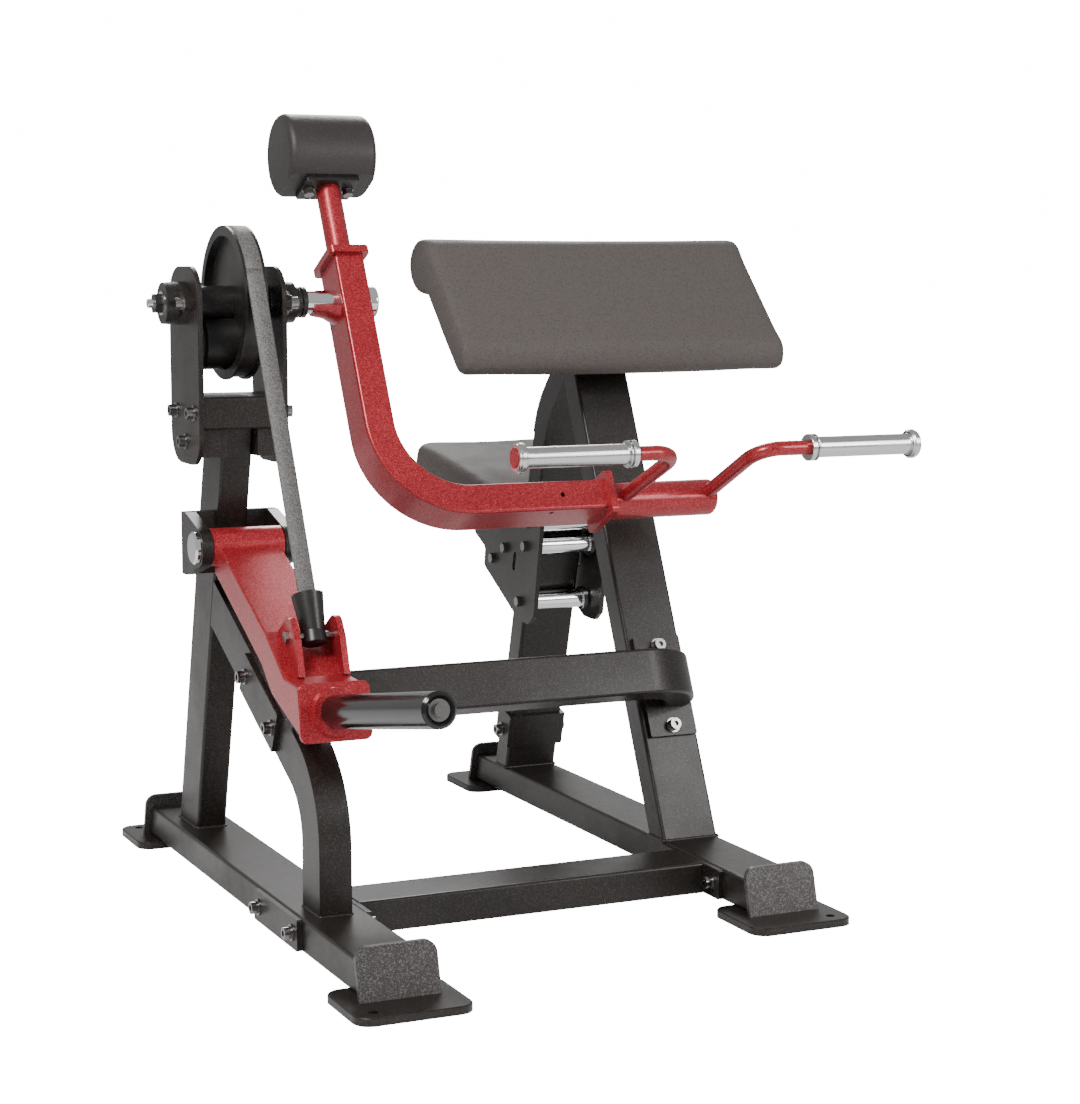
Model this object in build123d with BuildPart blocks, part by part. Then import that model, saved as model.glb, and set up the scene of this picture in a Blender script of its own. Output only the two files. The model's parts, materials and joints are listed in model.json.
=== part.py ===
"""Plate-loaded arm curl machine: frame, swing arm, weight lever, belt and sliding seat.

Millimetres. X runs from the weight side to the seat side, Y from the plate horn to the seat, Z up.
While the pieces are drawn, X = 0 is the middle of the weight-side rail, Y = 0 the front edge of its
front foot and Z = 0 the floor. At the end everything is moved so that the origin is on the floor
under the middle of the whole machine.
"""
from build123d import *
from math import asin, atan2, cos, degrees, hypot, radians, sin, sqrt, tan
import os

# ---------------------------------------------------------------- driving dimensions
# Tube and plate stock
tube_deep = 100.0
tube_thin = 50.0
tube_wall = 3.0
tube_corner = 5.0
plate = 8.0
edge_break = 1.5

# Base
rail_spacing = 695.0
left_base_length = 1220.0
right_base_start = 160.0
right_base_length = 1240.0
foot_thick = 12.0
foot_wide = 172.0
foot_long = 145.0
foot_corner = 25.0
anchor_radius = 7.0
anchor_side = 56.0
anchor_end = 25.0
kick_setback = 67.0
kick_wide = 120.0
kick_rise = 72.0
kick_lean = 15.0
kick_corner = 18.0
cross_y = 432.0
cross_plate_long = 200.0
cross_bolt_reach = 77.0

# Weight-side upright and tower
upright_front = 940.0
upright_lean = 15.0
tower_box_low = 746.0
tower_box_high = 51.0
tower_box_setback = 212.0
tower_box_deep = 140.0
tower_half_gap = 65.0
side_block_drop = 44.0
bearing_plate_wide = 158.0
bearing_plate_low = 688.0
bearing_plate_high = 1000.0
bearing_plate_corner = 52.0

# Main shaft, wheel and belt
shaft_setback = 134.0
shaft_z = 942.0
shaft_radius = 19.0
running_gap = 0.05
bearing_radius = 34.0
bearing_depth = 34.0
flange_depth = 14.0
flange_bolt_reach = 48.0
wheel_radius = 118.0
wheel_x = 10.0
belt_wide = 28.0
belt_thick = 4.0
wheel_flange = 4.0
hub_radius = 27.0
wrap_turn = 165.0

# Bent front leg
leg_front = 325.0
leg_deep = 75.0
leg_straight = 95.0
brace_plate_y = 578.0
leg_bend_radius = 127.5
brace_rise = 25.0

# Weight lever, horn and clevis
pivot_setback = 204.0
pivot_z = 561.0
pivot_pin_radius = 20.0
pivot_tube_radius = 30.0
pivot_tube_half = 59.0
cheek_thick = 18.0
lever_half = 50.0
lever_nose_half = 38.0
lever_neck_rise = 16.0
lever_neck_drop = 41.0
lever_chin_y = 350.0
lever_chin_z = 335.0
lever_heel_y = 458.0
lever_heel_z = 371.0
lever_wall = 5.0
clevis_y = 438.0
clevis_z = 458.0
ear_gap = 60.0
ear_thick = 10.0
clevis_pin_radius = 6.0
clevis_nut_radius = 10.2
horn_radius = 25.0
horn_length = 395.0
horn_tilt = 10.0
horn_root_y = 326.0
horn_root_z = 363.5

# Seat-side posts and upper cross tube
post_front = 533.0
front_lean = 24.5
rear_post_front = 1175.0
rear_lean = 15.4
rear_bend_start = 690.0
rear_bend_radius = 166.0
upper_tube_deep = 75.0
upper_bend_radius = 90.0
upper_along = 260.0
upper_butt_past = 13.0
upper_bolt_reach = 69.0
upper_bolt_past = 3.0

# Arm pad
pad_wide = 620.0
pad_slope = 43.4
pad_front_y = 765.0
pad_front_top = 866.0
pad_thick = 58.0
pad_roll_radius = 49.0
pad_roll_y = 962.0
pad_roll_z = 999.0
pad_round = 22.0
pad_side_round = 12.0
board_thick = 12.0

# Swing arm
arm_x = 204.0
arm_lean = 27.2
arm_thin = 50.0
arm_deep = 80.0
arm_top = 67.0
arm_reach = 367.0
arm_bend_radius = 138.0
arm_end_x = 572.0
arm_flange_thick = 12.0
flange_margin = 11.0
flange_corner = 8.0
handle_tube_radius = 30.0
handle_tube_end = 786.0
grip_mid_x = 706.0
grip_inner = 156.0
grip_length = 206.0
grip_out = 203.0
bar_radius = 12.0
bar_bend_radius = 42.0
left_bar_x = 612.0
right_bar_x = 768.0
neck_radius = 20.0
weight_radius = 68.0
weight_flat = 55.0
weight_length = 150.0
weight_distance = 268.0

# Seat carriage, measured up the rear post from the rail and back from the post's front face
carriage_gap = 12.0
roller_radius = 17.0
roller_flange = 21.0
roller_clear = 0.3
roller_bore = 6.08
front_roller_heights = (348.0, 456.0, 501.0)
rear_roller_height = 420.0
clamp_height = 381.0
clamp_back = 114.0
clamp_block = 30.0
slot_height = 410.0
slot_wide = 12.0
seat_underside = 466.0
seat_thick = 55.0
seat_front_back = 97.0
seat_length = 288.0
seat_rear_half = 156.0
seat_front_half = 98.0
seat_corner = 42.0
seat_top_round = 16.0
seat_board_margin = 28.0

# Screws: socket heads on flat washers
shank_radius = 6.0
hole_slack = 0.5
head_radius = 9.5
head_height = 11.0
key_radius = 5.0
key_depth = 5.0
washer_radius = 12.5
washer_thick = 2.5

# ---------------------------------------------------------------- places worked out from them
rail_low = foot_thick
rail_top = foot_thick + tube_thin
right_x = rail_spacing
half_deep = tube_deep / 2
half_thin = tube_thin / 2

# The tower, its shaft and the lever's pivot keep their places ahead of the upright's foot.
tower_box_front = upright_front - tower_box_setback
shaft_y = upright_front - shaft_setback
pivot_y = upright_front - pivot_setback

# The upper cross tube ends against the front post, wherever the rails put it.
upper_butt_x = right_x + upper_butt_past
upper_bolt_x = right_x + upper_bolt_past

lean_up = (sin(radians(arm_lean)), cos(radians(arm_lean)))
belt_radius = wheel_radius + belt_thick / 2
belt_reach = hypot(shaft_y - clevis_y, shaft_z - clevis_z)
belt_angle = degrees(atan2(shaft_z - clevis_z, shaft_y - clevis_y) + asin(belt_radius / belt_reach))
belt_length = sqrt(belt_reach**2 - belt_radius**2)
belt_dir = Vector(0, cos(radians(belt_angle)), sin(radians(belt_angle)))

pieces = {}


def keep(label, builder):
    """Name a finished piece and put it on the list to be written."""
    pieces[label] = builder.part


def upright_face(z):
    """Y of the upright's front face at height z."""
    return upright_front - tan(radians(upright_lean)) * (z - rail_top)


def crossing(p, p_angle, q, q_angle):
    """Point of the YZ plane where two lines meet, each given by a point and its angle from +Y."""
    a, b = radians(p_angle), radians(q_angle)
    reach = ((q[0] - p[0]) * sin(b) - (q[1] - p[1]) * cos(b)) / (cos(a) * sin(b) - sin(a) * cos(b))
    return (p[0] + reach * cos(a), p[1] + reach * sin(a))


def along(point, angle, reach):
    """Point of the YZ plane at a distance from another, in a direction given from +Y."""
    return (point[0] + reach * cos(radians(angle)), point[1] + reach * sin(radians(angle)))


def side_plane(x):
    """Plane that looks along +X, its own x along Y and its own y along Z."""
    return Plane.YZ.offset(x)


def facing(x, y, z, direction):
    """Plane through a point, facing left (-1) or right (+1)."""
    return Plane(origin=(x, y, z), x_dir=(0, 1, 0), z_dir=(direction, 0, 0))


def drill(seats):
    """Cut clearance holes in the open part for the screws that sit on these planes."""
    for seat, grip in seats:
        with BuildSketch(seat.offset(edge_break)) as hole:
            Circle(shank_radius + hole_slack)
        extrude(hole.sketch, amount=-(grip + hole_slack + edge_break), mode=Mode.SUBTRACT)


# ---------------------------------------------------------------- base rails, feet and kick plates
bases = (
    (0.0, 0.0, left_base_length, -1),
    (right_x, right_base_start, right_base_length, 1),
)
kick_level = plate / cos(radians(kick_lean))
kick_run = tan(radians(kick_lean)) * tube_thin

rail_mid = rail_low + half_thin
cross_seats_left = [
    (facing(-half_deep - plate, cross_y + side * cross_bolt_reach, rail_mid, -1), plate + tube_wall)
    for side in (-1, 1)
]
cross_seats_inner = [
    (facing(x, cross_y + side * cross_bolt_reach, rail_mid, direction), plate + tube_wall)
    for x, direction in ((half_deep + plate, 1), (right_x - half_deep - plate, -1))
    for side in (-1, 1)
]

with BuildPart() as base_rails:
    for x_mid, start, length, outer in bases:
        low_front = start + kick_setback + kick_level
        low_rear = start + length - kick_setback - kick_level
        with BuildSketch(side_plane(x_mid)):
            with BuildLine():
                Polyline(
                    (low_front, rail_low),
                    (low_rear, rail_low),
                    (low_rear - kick_run, rail_top),
                    (low_front + kick_run, rail_top),
                    close=True,
                )
            make_face()
        extrude(amount=half_deep, both=True)
    fillet(base_rails.edges().filter_by(Axis.Y), tube_corner)
    for x_mid, start, length, outer in bases:
        with BuildSketch(Plane.XZ.offset(-start)):
            with Locations((x_mid, rail_low + half_thin)):
                Rectangle(tube_deep - 2 * tube_wall, tube_thin - 2 * tube_wall)
        extrude(amount=-length, mode=Mode.SUBTRACT)
    drill(cross_seats_left + cross_seats_inner)
keep("base_rails", base_rails)

with BuildPart() as foot_plates:
    for x_mid, start, length, outer in bases:
        for end, inward in ((start, 1), (start + length, -1)):
            with BuildSketch(Plane.XY):
                with Locations((x_mid, end + inward * foot_long / 2)):
                    RectangleRounded(foot_wide, foot_long, foot_corner)
                with Locations((x_mid + outer * anchor_side, end + inward * anchor_end)):
                    Circle(anchor_radius, mode=Mode.SUBTRACT)
            extrude(amount=foot_thick)
    rims = foot_plates.edges().group_by(Axis.Z)[-1].filter_by(GeomType.CIRCLE, reverse=True)
    chamfer(rims, edge_break)
keep("foot_plates", foot_plates)

with BuildPart() as kick_plates:
    for x_mid, start, length, outer in bases:
        for end, inward in ((start, 1), (start + length, -1)):
            foot_y = end + inward * kick_setback
            top_y = foot_y + inward * tan(radians(kick_lean)) * kick_rise
            with BuildSketch(side_plane(x_mid)):
                with BuildLine():
                    Polyline(
                        (foot_y, rail_low),
                        (foot_y + inward * kick_level, rail_low),
                        (top_y + inward * kick_level, rail_low + kick_rise),
                        (top_y, rail_low + kick_rise),
                        close=True,
                    )
                make_face()
            extrude(amount=kick_wide / 2, both=True)
    fillet(kick_plates.edges().filter_by(Axis.Y).group_by(Axis.Z)[-1], kick_corner)
keep("kick_plates", kick_plates)

# ---------------------------------------------------------------- lower cross tube
with BuildPart() as lower_cross_tube:
    with BuildSketch(Plane.YZ.offset(half_deep + plate)):
        with Locations((cross_y, rail_low + half_thin)):
            RectangleRounded(tube_deep, tube_thin, tube_corner)
            Rectangle(tube_deep - 2 * tube_wall, tube_thin - 2 * tube_wall, mode=Mode.SUBTRACT)
    extrude(amount=right_x - tube_deep - 2 * plate)
keep("lower_cross_tube", lower_cross_tube)

# ---------------------------------------------------------------- upright and bent front leg
upright_level = tube_deep / cos(radians(upright_lean))
upright_wall = tube_wall / cos(radians(upright_lean))
upright_axis = Axis((0, 0, 0), (0, -sin(radians(upright_lean)), cos(radians(upright_lean))))

with BuildPart() as left_upright:
    with BuildSketch(side_plane(0)):
        with BuildLine():
            Polyline(
                (upright_face(rail_top), rail_top),
                (upright_face(rail_top) + upright_level, rail_top),
                (upright_face(tower_box_low) + upright_level, tower_box_low),
                (upright_face(tower_box_low), tower_box_low),
                close=True,
            )
        make_face()
    extrude(amount=half_thin, both=True)
    fillet(left_upright.edges().filter_by(upright_axis), tube_corner)
    with BuildSketch(side_plane(0)):
        with BuildLine():
            Polyline(
                (upright_face(rail_top - 1) + upright_wall, rail_top - 1),
                (upright_face(rail_top - 1) + upright_level - upright_wall, rail_top - 1),
                (upright_face(tower_box_low + 1) + upright_level - upright_wall, tower_box_low + 1),
                (upright_face(tower_box_low + 1) + upright_wall, tower_box_low + 1),
                close=True,
            )
        make_face()
    extrude(amount=half_thin - tube_wall, both=True, mode=Mode.SUBTRACT)
keep("left_upright", left_upright)

leg_arc_y = leg_front + leg_deep / 2 + leg_bend_radius
leg_arc_z = rail_top + leg_straight
leg_turn = 90 - brace_rise
upright_angle = 90 + upright_lean
upright_foot = (upright_face(rail_top), rail_top)


def leg_outline(inset):
    """Side outline of the bent leg, each long side moved in by inset."""
    outer = leg_bend_radius + leg_deep / 2 - inset
    inner = leg_bend_radius - leg_deep / 2 + inset
    outer_end = along((leg_arc_y, leg_arc_z), 180 - leg_turn, outer)
    inner_end = along((leg_arc_y, leg_arc_z), 180 - leg_turn, inner)
    outer_top = crossing(outer_end, brace_rise, upright_foot, upright_angle)
    inner_top = crossing(inner_end, brace_rise, upright_foot, upright_angle)
    Line((leg_arc_y - outer, rail_top), (leg_arc_y - outer, leg_arc_z))
    CenterArc((leg_arc_y, leg_arc_z), outer, 180, -leg_turn)
    Polyline(outer_end, outer_top, inner_top, inner_end)
    CenterArc((leg_arc_y, leg_arc_z), inner, 180 - leg_turn, leg_turn)
    Polyline((leg_arc_y - inner, leg_arc_z), (leg_arc_y - inner, rail_top), (leg_arc_y - outer, rail_top))


brace_mid = along((leg_arc_y, leg_arc_z), 180 - leg_turn, leg_bend_radius)
brace_centre = along(brace_mid, brace_rise, (brace_plate_y - brace_mid[0]) / cos(radians(brace_rise)))
brace_bolts = [along(brace_centre, brace_rise, side * upper_bolt_reach) for side in (-1, 1)]
brace_seats = [(facing(-half_thin - plate, *spot, -1), plate + tube_wall) for spot in brace_bolts]

with BuildPart() as front_leg:
    with BuildSketch(side_plane(0)):
        with BuildLine():
            leg_outline(0)
        make_face()
    extrude(amount=half_thin, both=True)
    with BuildSketch(side_plane(0)):
        with BuildLine():
            leg_outline(tube_wall)
        make_face()
    extrude(amount=half_thin - tube_wall, both=True, mode=Mode.SUBTRACT)
    drill(brace_seats)
keep("front_leg", front_leg)

# ---------------------------------------------------------------- tower head and bearing plates
tower_screw_shift = 4.0
tower_seats = [
    (facing(side * (tower_half_gap + plate), y, z, side), plate + tube_wall)
    for side in (-1, 1)
    for y, z in ((shaft_y - flange_bolt_reach - tower_screw_shift, tower_box_low + half_thin),
                 (shaft_y + flange_bolt_reach - tower_screw_shift, tower_box_low + half_thin),
                 (shaft_y - tower_screw_shift, tower_box_low - side_block_drop / 2))
]
bearing_seats = [
    (facing(side * (tower_half_gap + plate + flange_depth), shaft_y + reach, shaft_z, side),
     flange_depth + plate)
    for side in (-1, 1)
    for reach in (-flange_bolt_reach, flange_bolt_reach)
]

with BuildPart() as tower_cross_box:
    with BuildSketch(Plane.YZ.offset(-tower_half_gap)):
        with Locations((tower_box_front + tower_box_deep / 2, tower_box_low + tower_box_high / 2)):
            RectangleRounded(tower_box_deep, tower_box_high, tube_corner)
    extrude(amount=2 * tower_half_gap)
    with BuildSketch(Plane.YZ):
        with Locations((tower_box_front + tower_box_deep / 2, tower_box_low + tower_box_high / 2)):
            Rectangle(tower_box_deep - 2 * tube_wall, tower_box_high - 2 * tube_wall)
    extrude(amount=tower_half_gap - plate, both=True, mode=Mode.SUBTRACT)
    drill(tower_seats)
keep("tower_cross_box", tower_cross_box)

block_wide = tower_half_gap - half_thin
block_low = tower_box_low - side_block_drop
block_rear = tower_box_front + tower_box_deep - 2 * tube_corner
with BuildPart() as tower_side_blocks:
    for side in (-1, 1):
        with BuildSketch(side_plane(side * (half_thin + block_wide / 2))):
            with BuildLine():
                Polyline(
                    (tower_box_front + 2 * tube_corner, tower_box_low),
                    (block_rear, tower_box_low),
                    (block_rear, block_low),
                    (tower_box_front + 2 * tube_corner, block_low),
                    close=True,
                )
            make_face()
        extrude(amount=block_wide / 2, both=True)
    drill(tower_seats)
keep("tower_side_blocks", tower_side_blocks)

with BuildPart() as bearing_plates:
    for side in (-1, 1):
        with BuildSketch(side_plane(side * (tower_half_gap + plate / 2))):
            with Locations((shaft_y, (bearing_plate_low + bearing_plate_high) / 2)):
                RectangleRounded(
                    bearing_plate_wide, bearing_plate_high - bearing_plate_low, bearing_plate_corner
                )
            with Locations((shaft_y, shaft_z)):
                Circle(shaft_radius + plate / 2, mode=Mode.SUBTRACT)
        extrude(amount=plate / 2, both=True)
    drill(tower_seats + bearing_seats)
    chamfer(bearing_plates.faces().sort_by(Axis.X)[0].outer_wire().edges(), edge_break)
    chamfer(bearing_plates.faces().sort_by(Axis.X)[-1].outer_wire().edges(), edge_break)
keep("bearing_plates", bearing_plates)

with BuildPart() as shaft_bearings:
    for side in (-1, 1):
        base = facing(side * (tower_half_gap + plate), shaft_y, shaft_z, side)
        with BuildSketch(base):
            Circle(bearing_radius)
            with Locations((-flange_bolt_reach, 0), (flange_bolt_reach, 0)):
                Circle(head_radius + plate / 2)
            make_hull()
        extrude(amount=flange_depth)
        with BuildSketch(base.offset(flange_depth)):
            Circle(bearing_radius)
        extrude(amount=bearing_depth - flange_depth, taper=4)
        with BuildSketch(base):
            Circle(shaft_radius + running_gap)
        extrude(amount=bearing_depth, mode=Mode.SUBTRACT)
    drill(bearing_seats)
keep("shaft_bearings", shaft_bearings)

# ---------------------------------------------------------------- lever bracket, pin and rest block
wing_rear = upright_face(pivot_z)
cheek_inner = pivot_tube_half + 0.5
wing_high = 50.0
with BuildPart() as lever_bracket:
    for side in (-1, 1):
        with BuildSketch(side_plane(side * (cheek_inner + cheek_thick / 2))):
            with Locations((pivot_y, pivot_z)):
                Circle(pivot_tube_radius + 1)
            with Locations((wing_rear - plate / 2, pivot_z)):
                Rectangle(plate, 2 * wing_high)
            make_hull()
            with Locations((pivot_y, pivot_z)):
                Circle(pivot_pin_radius, mode=Mode.SUBTRACT)
        extrude(amount=cheek_thick / 2, both=True)
        with BuildSketch(Plane.XZ.offset(-wing_rear)):
            with Locations((side * (half_thin + cheek_inner + cheek_thick) / 2, pivot_z)):
                Rectangle(cheek_inner + cheek_thick - half_thin, 2 * wing_high)
        extrude(amount=-2 * plate)
keep("lever_bracket", lever_bracket)

pin_half = cheek_inner + cheek_thick + 1
cap_thick = 8.0
with BuildPart() as lever_pin:
    with BuildSketch(Plane.YZ.offset(-pin_half)):
        with Locations((pivot_y, pivot_z)):
            Circle(pivot_pin_radius)
    extrude(amount=2 * pin_half)
    for side in (-1, 1):
        with BuildSketch(facing(side * pin_half, pivot_y, pivot_z, side)):
            Circle(pivot_tube_radius - 4)
        extrude(amount=cap_thick)
    rims = lever_pin.edges().filter_by(GeomType.CIRCLE)
    chamfer(rims.group_by(Axis.X)[0] + rims.group_by(Axis.X)[-1], 2 * edge_break)
keep("lever_pin", lever_pin)

# ---------------------------------------------------------------- weight lever
horn_angle = 180 - horn_tilt
box_top = along((horn_root_y, horn_root_z), horn_angle - 90, lever_nose_half)
box_bottom = along((horn_root_y, horn_root_z), horn_angle - 90, -lever_nose_half)
ear_foot_rear = (486.0, 460.0)
ear_foot_front = (400.0, 404.0)
ear_top_lift = 10.0
ear_top_radius = 19.0
chin = (lever_chin_y, lever_chin_z)
heel = (lever_heel_y, lever_heel_z)
belly = (506.0, 409.0)
lever_profile = [
    (pivot_y, pivot_z + lever_neck_rise),
    ear_foot_rear,
    ear_foot_front,
    box_top,
    box_bottom,
    chin,
    heel,
    belly,
    (pivot_y, pivot_z - lever_neck_drop),
]

with BuildPart() as lever_box:
    with BuildSketch(side_plane(0)):
        with BuildLine():
            Polyline(*lever_profile, close=True)
        make_face()
    extrude(amount=lever_half, both=True)
    fillet(lever_box.faces().filter_by(Axis.X).edges(), 2 * edge_break)
    with BuildSketch(side_plane(0)):
        with BuildLine():
            Polyline(*lever_profile, close=True)
        make_face()
        offset(amount=-lever_wall, kind=Kind.INTERSECTION, mode=Mode.REPLACE)
    extrude(amount=lever_half - lever_wall, both=True, mode=Mode.SUBTRACT)
    with BuildSketch(side_plane(0)):
        with Locations((pivot_y, pivot_z)):
            Circle(pivot_tube_radius)
    extrude(amount=lever_half + 1, both=True, mode=Mode.SUBTRACT)
keep("lever_box", lever_box)

with BuildPart() as lever_tube:
    with BuildSketch(side_plane(0)):
        with Locations((pivot_y, pivot_z)):
            Circle(pivot_tube_radius)
            Circle(pivot_pin_radius + running_gap, mode=Mode.SUBTRACT)
    extrude(amount=pivot_tube_half, both=True)
    chamfer(lever_tube.edges().filter_by(GeomType.CIRCLE), edge_break)
keep("lever_tube", lever_tube)

with BuildPart() as clevis_ears:
    for side in (-1, 1):
        ear_x = wheel_x + side * (ear_gap + ear_thick) / 2
        with BuildSketch(side_plane(ear_x)):
            with BuildLine():
                Polyline(
                    ear_foot_rear,
                    (clevis_y + ear_top_lift, clevis_z),
                    (clevis_y - 3 * ear_top_lift, clevis_z),
                    along(ear_foot_front, horn_angle, ear_top_lift),
                    ear_foot_front,
                    close=True,
                )
            make_face()
            with Locations((clevis_y, clevis_z + ear_top_lift)):
                Circle(ear_top_radius)
            make_hull()
            with BuildLine():
                Polyline(
                    ear_foot_rear,
                    ear_foot_front,
                    along(ear_foot_front, horn_angle, ear_top_lift),
                    along(ear_foot_front, horn_angle - 90, -4 * ear_top_lift),
                    (ear_foot_rear[0], ear_foot_front[1] - 2 * ear_top_lift),
                    close=True,
                )
            make_face(mode=Mode.SUBTRACT)
            with Locations((clevis_y, clevis_z)):
                Circle(clevis_pin_radius, mode=Mode.SUBTRACT)
        extrude(amount=ear_thick / 2, both=True)
keep("clevis_ears", clevis_ears)

horn_plate_high = 86.0
horn_plate_corner = 12.0
horn_ring_reach = 13.0
horn_plane = Plane(
    origin=(0, horn_root_y, horn_root_z),
    x_dir=(1, 0, 0),
    z_dir=(0, cos(radians(horn_angle)), sin(radians(horn_angle))),
)
with BuildPart() as horn_plate:
    with BuildSketch(horn_plane):
        RectangleRounded(2 * lever_half + 10, horn_plate_high, horn_plate_corner)
    extrude(amount=plate)
    chamfer(horn_plate.faces().sort_by(Axis.Y)[0].edges(), edge_break)
    with BuildSketch(horn_plane.offset(plate)):
        Circle(horn_radius + horn_ring_reach)
    extrude(amount=plate, taper=20)
keep("horn_plate", horn_plate)

recess_radius = 15.0
recess_depth = 6.0
with BuildPart() as weight_horn:
    with BuildSketch(horn_plane.offset(2 * plate)):
        Circle(horn_radius)
        Circle(horn_radius - 2 * tube_wall, mode=Mode.SUBTRACT)
    extrude(amount=horn_length - recess_depth - plate)
    with BuildSketch(horn_plane.offset(2 * plate + horn_length - recess_depth - plate)):
        Circle(horn_radius)
    extrude(amount=plate)
    with BuildSketch(horn_plane.offset(2 * plate + horn_length - recess_depth)):
        Circle(horn_radius)
        Circle(recess_radius, mode=Mode.SUBTRACT)
    extrude(amount=recess_depth)
    chamfer(weight_horn.edges().filter_by(GeomType.CIRCLE).group_by(Axis.Y)[0], 4)
keep("weight_horn", weight_horn)

ear_out = (ear_gap + 2 * ear_thick) / 2
horn_floor = horn_plane.offset(2 * plate + horn_length - recess_depth)
with BuildPart() as lever_fasteners:
    with BuildSketch(facing(wheel_x - ear_out, clevis_y, clevis_z, 1)):
        Circle(clevis_pin_radius)
    extrude(amount=2 * ear_out)
    for side in (-1, 1):
        with BuildSketch(facing(wheel_x + side * ear_out, clevis_y, clevis_z, side)):
            RegularPolygon(clevis_nut_radius, 6)
        extrude(amount=clevis_pin_radius)
    with BuildSketch(horn_floor):
        Circle(recess_radius)
    extrude(amount=washer_thick)
    with BuildSketch(horn_floor.offset(washer_thick)):
        Circle(head_radius)
    extrude(amount=plate)
keep("lever_fasteners", lever_fasteners)

# The lever's flat belly rests on a rubber block that stands on the bent leg.
rest_front = along((leg_arc_y, leg_arc_z), 180 - leg_turn, leg_bend_radius + leg_deep / 2)
belly_angle = degrees(atan2(heel[1] - chin[1], heel[0] - chin[0]))
rest_gap = 0.4
rest_long = 35.0
rest_start = along(rest_front, brace_rise, 1)
rest_stop = along(rest_start, brace_rise, rest_long)
belly_line = (chin[0], chin[1] - rest_gap / cos(radians(belly_angle)))
with BuildPart() as lever_rest_block:
    with BuildSketch(side_plane(0)):
        with BuildLine():
            Polyline(
                rest_start,
                rest_stop,
                crossing(rest_stop, 90, belly_line, belly_angle),
                crossing(rest_start, 90, belly_line, belly_angle),
                close=True,
            )
        make_face()
    extrude(amount=half_thin - tube_corner, both=True)
    fillet(lever_rest_block.edges().filter_by(Axis.Z), 2 * edge_break)
keep("lever_rest_block", lever_rest_block)

# ---------------------------------------------------------------- belt sleeve and belt
clevis_plane = Plane(origin=(wheel_x, clevis_y, clevis_z), x_dir=(1, 0, 0), z_dir=belt_dir)
sleeve_below = 13.0
sleeve_foot = 19.5
sleeve_waist = 18.0
sleeve_mouth = 24.0
sleeve_above = 64.0
with BuildPart() as belt_sleeve:
    with BuildSketch(Plane(origin=clevis_plane.origin, x_dir=(1, 0, 0), z_dir=clevis_plane.y_dir * -1)):
        with BuildLine():
            Polyline(
                (0, -sleeve_below),
                (sleeve_foot - edge_break, -sleeve_below),
                (sleeve_foot, edge_break - sleeve_below),
                (sleeve_waist, clevis_pin_radius),
                (sleeve_mouth, sleeve_above),
                (0, sleeve_above),
                close=True,
            )
        make_face()
    revolve(axis=Axis(clevis_plane.origin, belt_dir))
    with BuildSketch(clevis_plane.offset(plate + clevis_pin_radius)):
        Rectangle(belt_wide + 1, belt_thick + 1)
    extrude(amount=sleeve_above, mode=Mode.SUBTRACT)
    with BuildSketch(clevis_plane.offset(sleeve_above - plate)):
        Circle(20)
    extrude(amount=plate, mode=Mode.SUBTRACT)
    with BuildSketch(side_plane(wheel_x)):
        with Locations((clevis_y, clevis_z)):
            Circle(clevis_pin_radius + running_gap)
    extrude(amount=ear_gap / 2, both=True, mode=Mode.SUBTRACT)
keep("belt_sleeve", belt_sleeve)

with BuildPart() as belt_span:
    with BuildSketch(clevis_plane.offset(plate + clevis_pin_radius + 1)):
        Rectangle(belt_wide, belt_thick)
    extrude(amount=belt_length - plate - clevis_pin_radius - 1)
keep("belt_span", belt_span)

with BuildPart() as belt_wrap:
    with BuildSketch(side_plane(wheel_x)):
        with BuildLine():
            tangent = belt_angle + 90
            inner_arc = CenterArc((shaft_y, shaft_z), wheel_radius, tangent, -wrap_turn)
            outer_arc = CenterArc((shaft_y, shaft_z), wheel_radius + belt_thick, tangent, -wrap_turn)
            Line(inner_arc @ 0, outer_arc @ 0)
            Line(inner_arc @ 1, outer_arc @ 1)
        make_face()
    extrude(amount=belt_wide / 2, both=True)
keep("belt_wrap", belt_wrap)

# ---------------------------------------------------------------- shaft, wheel and shaft fittings
arm_half = arm_thin / 2
shaft_left = tower_half_gap + plate + bearing_depth + 2
shaft_tail = 9.0
shaft_right = arm_x + arm_half + shaft_tail
stub_length = 22.0
stub_radius = 7.5
with BuildPart() as main_shaft:
    with BuildSketch(facing(-shaft_left, shaft_y, shaft_z, 1)):
        Circle(shaft_radius)
    extrude(amount=shaft_left + shaft_right)
    with BuildSketch(facing(-shaft_left, shaft_y, shaft_z, -1)):
        Circle(stub_radius)
    extrude(amount=stub_length)
    chamfer(main_shaft.edges().filter_by(GeomType.CIRCLE).group_by(Axis.X)[0], edge_break)
keep("main_shaft", main_shaft)

collar_radius = 25.0
with BuildPart() as shaft_collars:
    with BuildSketch(facing(-shaft_left, shaft_y, shaft_z, -1)):
        RegularPolygon(17, 6)
        Circle(stub_radius, mode=Mode.SUBTRACT)
    extrude(amount=12)
    for start, wide, radius in ((0.5, 8, collar_radius), (9, 4, collar_radius - 3), (13.5, 7, collar_radius)):
        with BuildSketch(facing(tower_half_gap + plate + bearing_depth + start, shaft_y, shaft_z, 1)):
            Circle(radius)
            Circle(shaft_radius, mode=Mode.SUBTRACT)
        extrude(amount=wide)
keep("shaft_collars", shaft_collars)

with BuildPart() as shaft_end_cap:
    with BuildSketch(facing(arm_x + arm_half, shaft_y, shaft_z, 1)):
        Circle(26)
    extrude(amount=20)
    fillet(shaft_end_cap.faces().sort_by(Axis.X)[-1].edges(), 5)
    with BuildSketch(facing(arm_x + arm_half, shaft_y, shaft_z, 1)):
        Circle(shaft_radius)
    extrude(amount=shaft_tail, mode=Mode.SUBTRACT)
keep("shaft_end_cap", shaft_end_cap)

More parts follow.
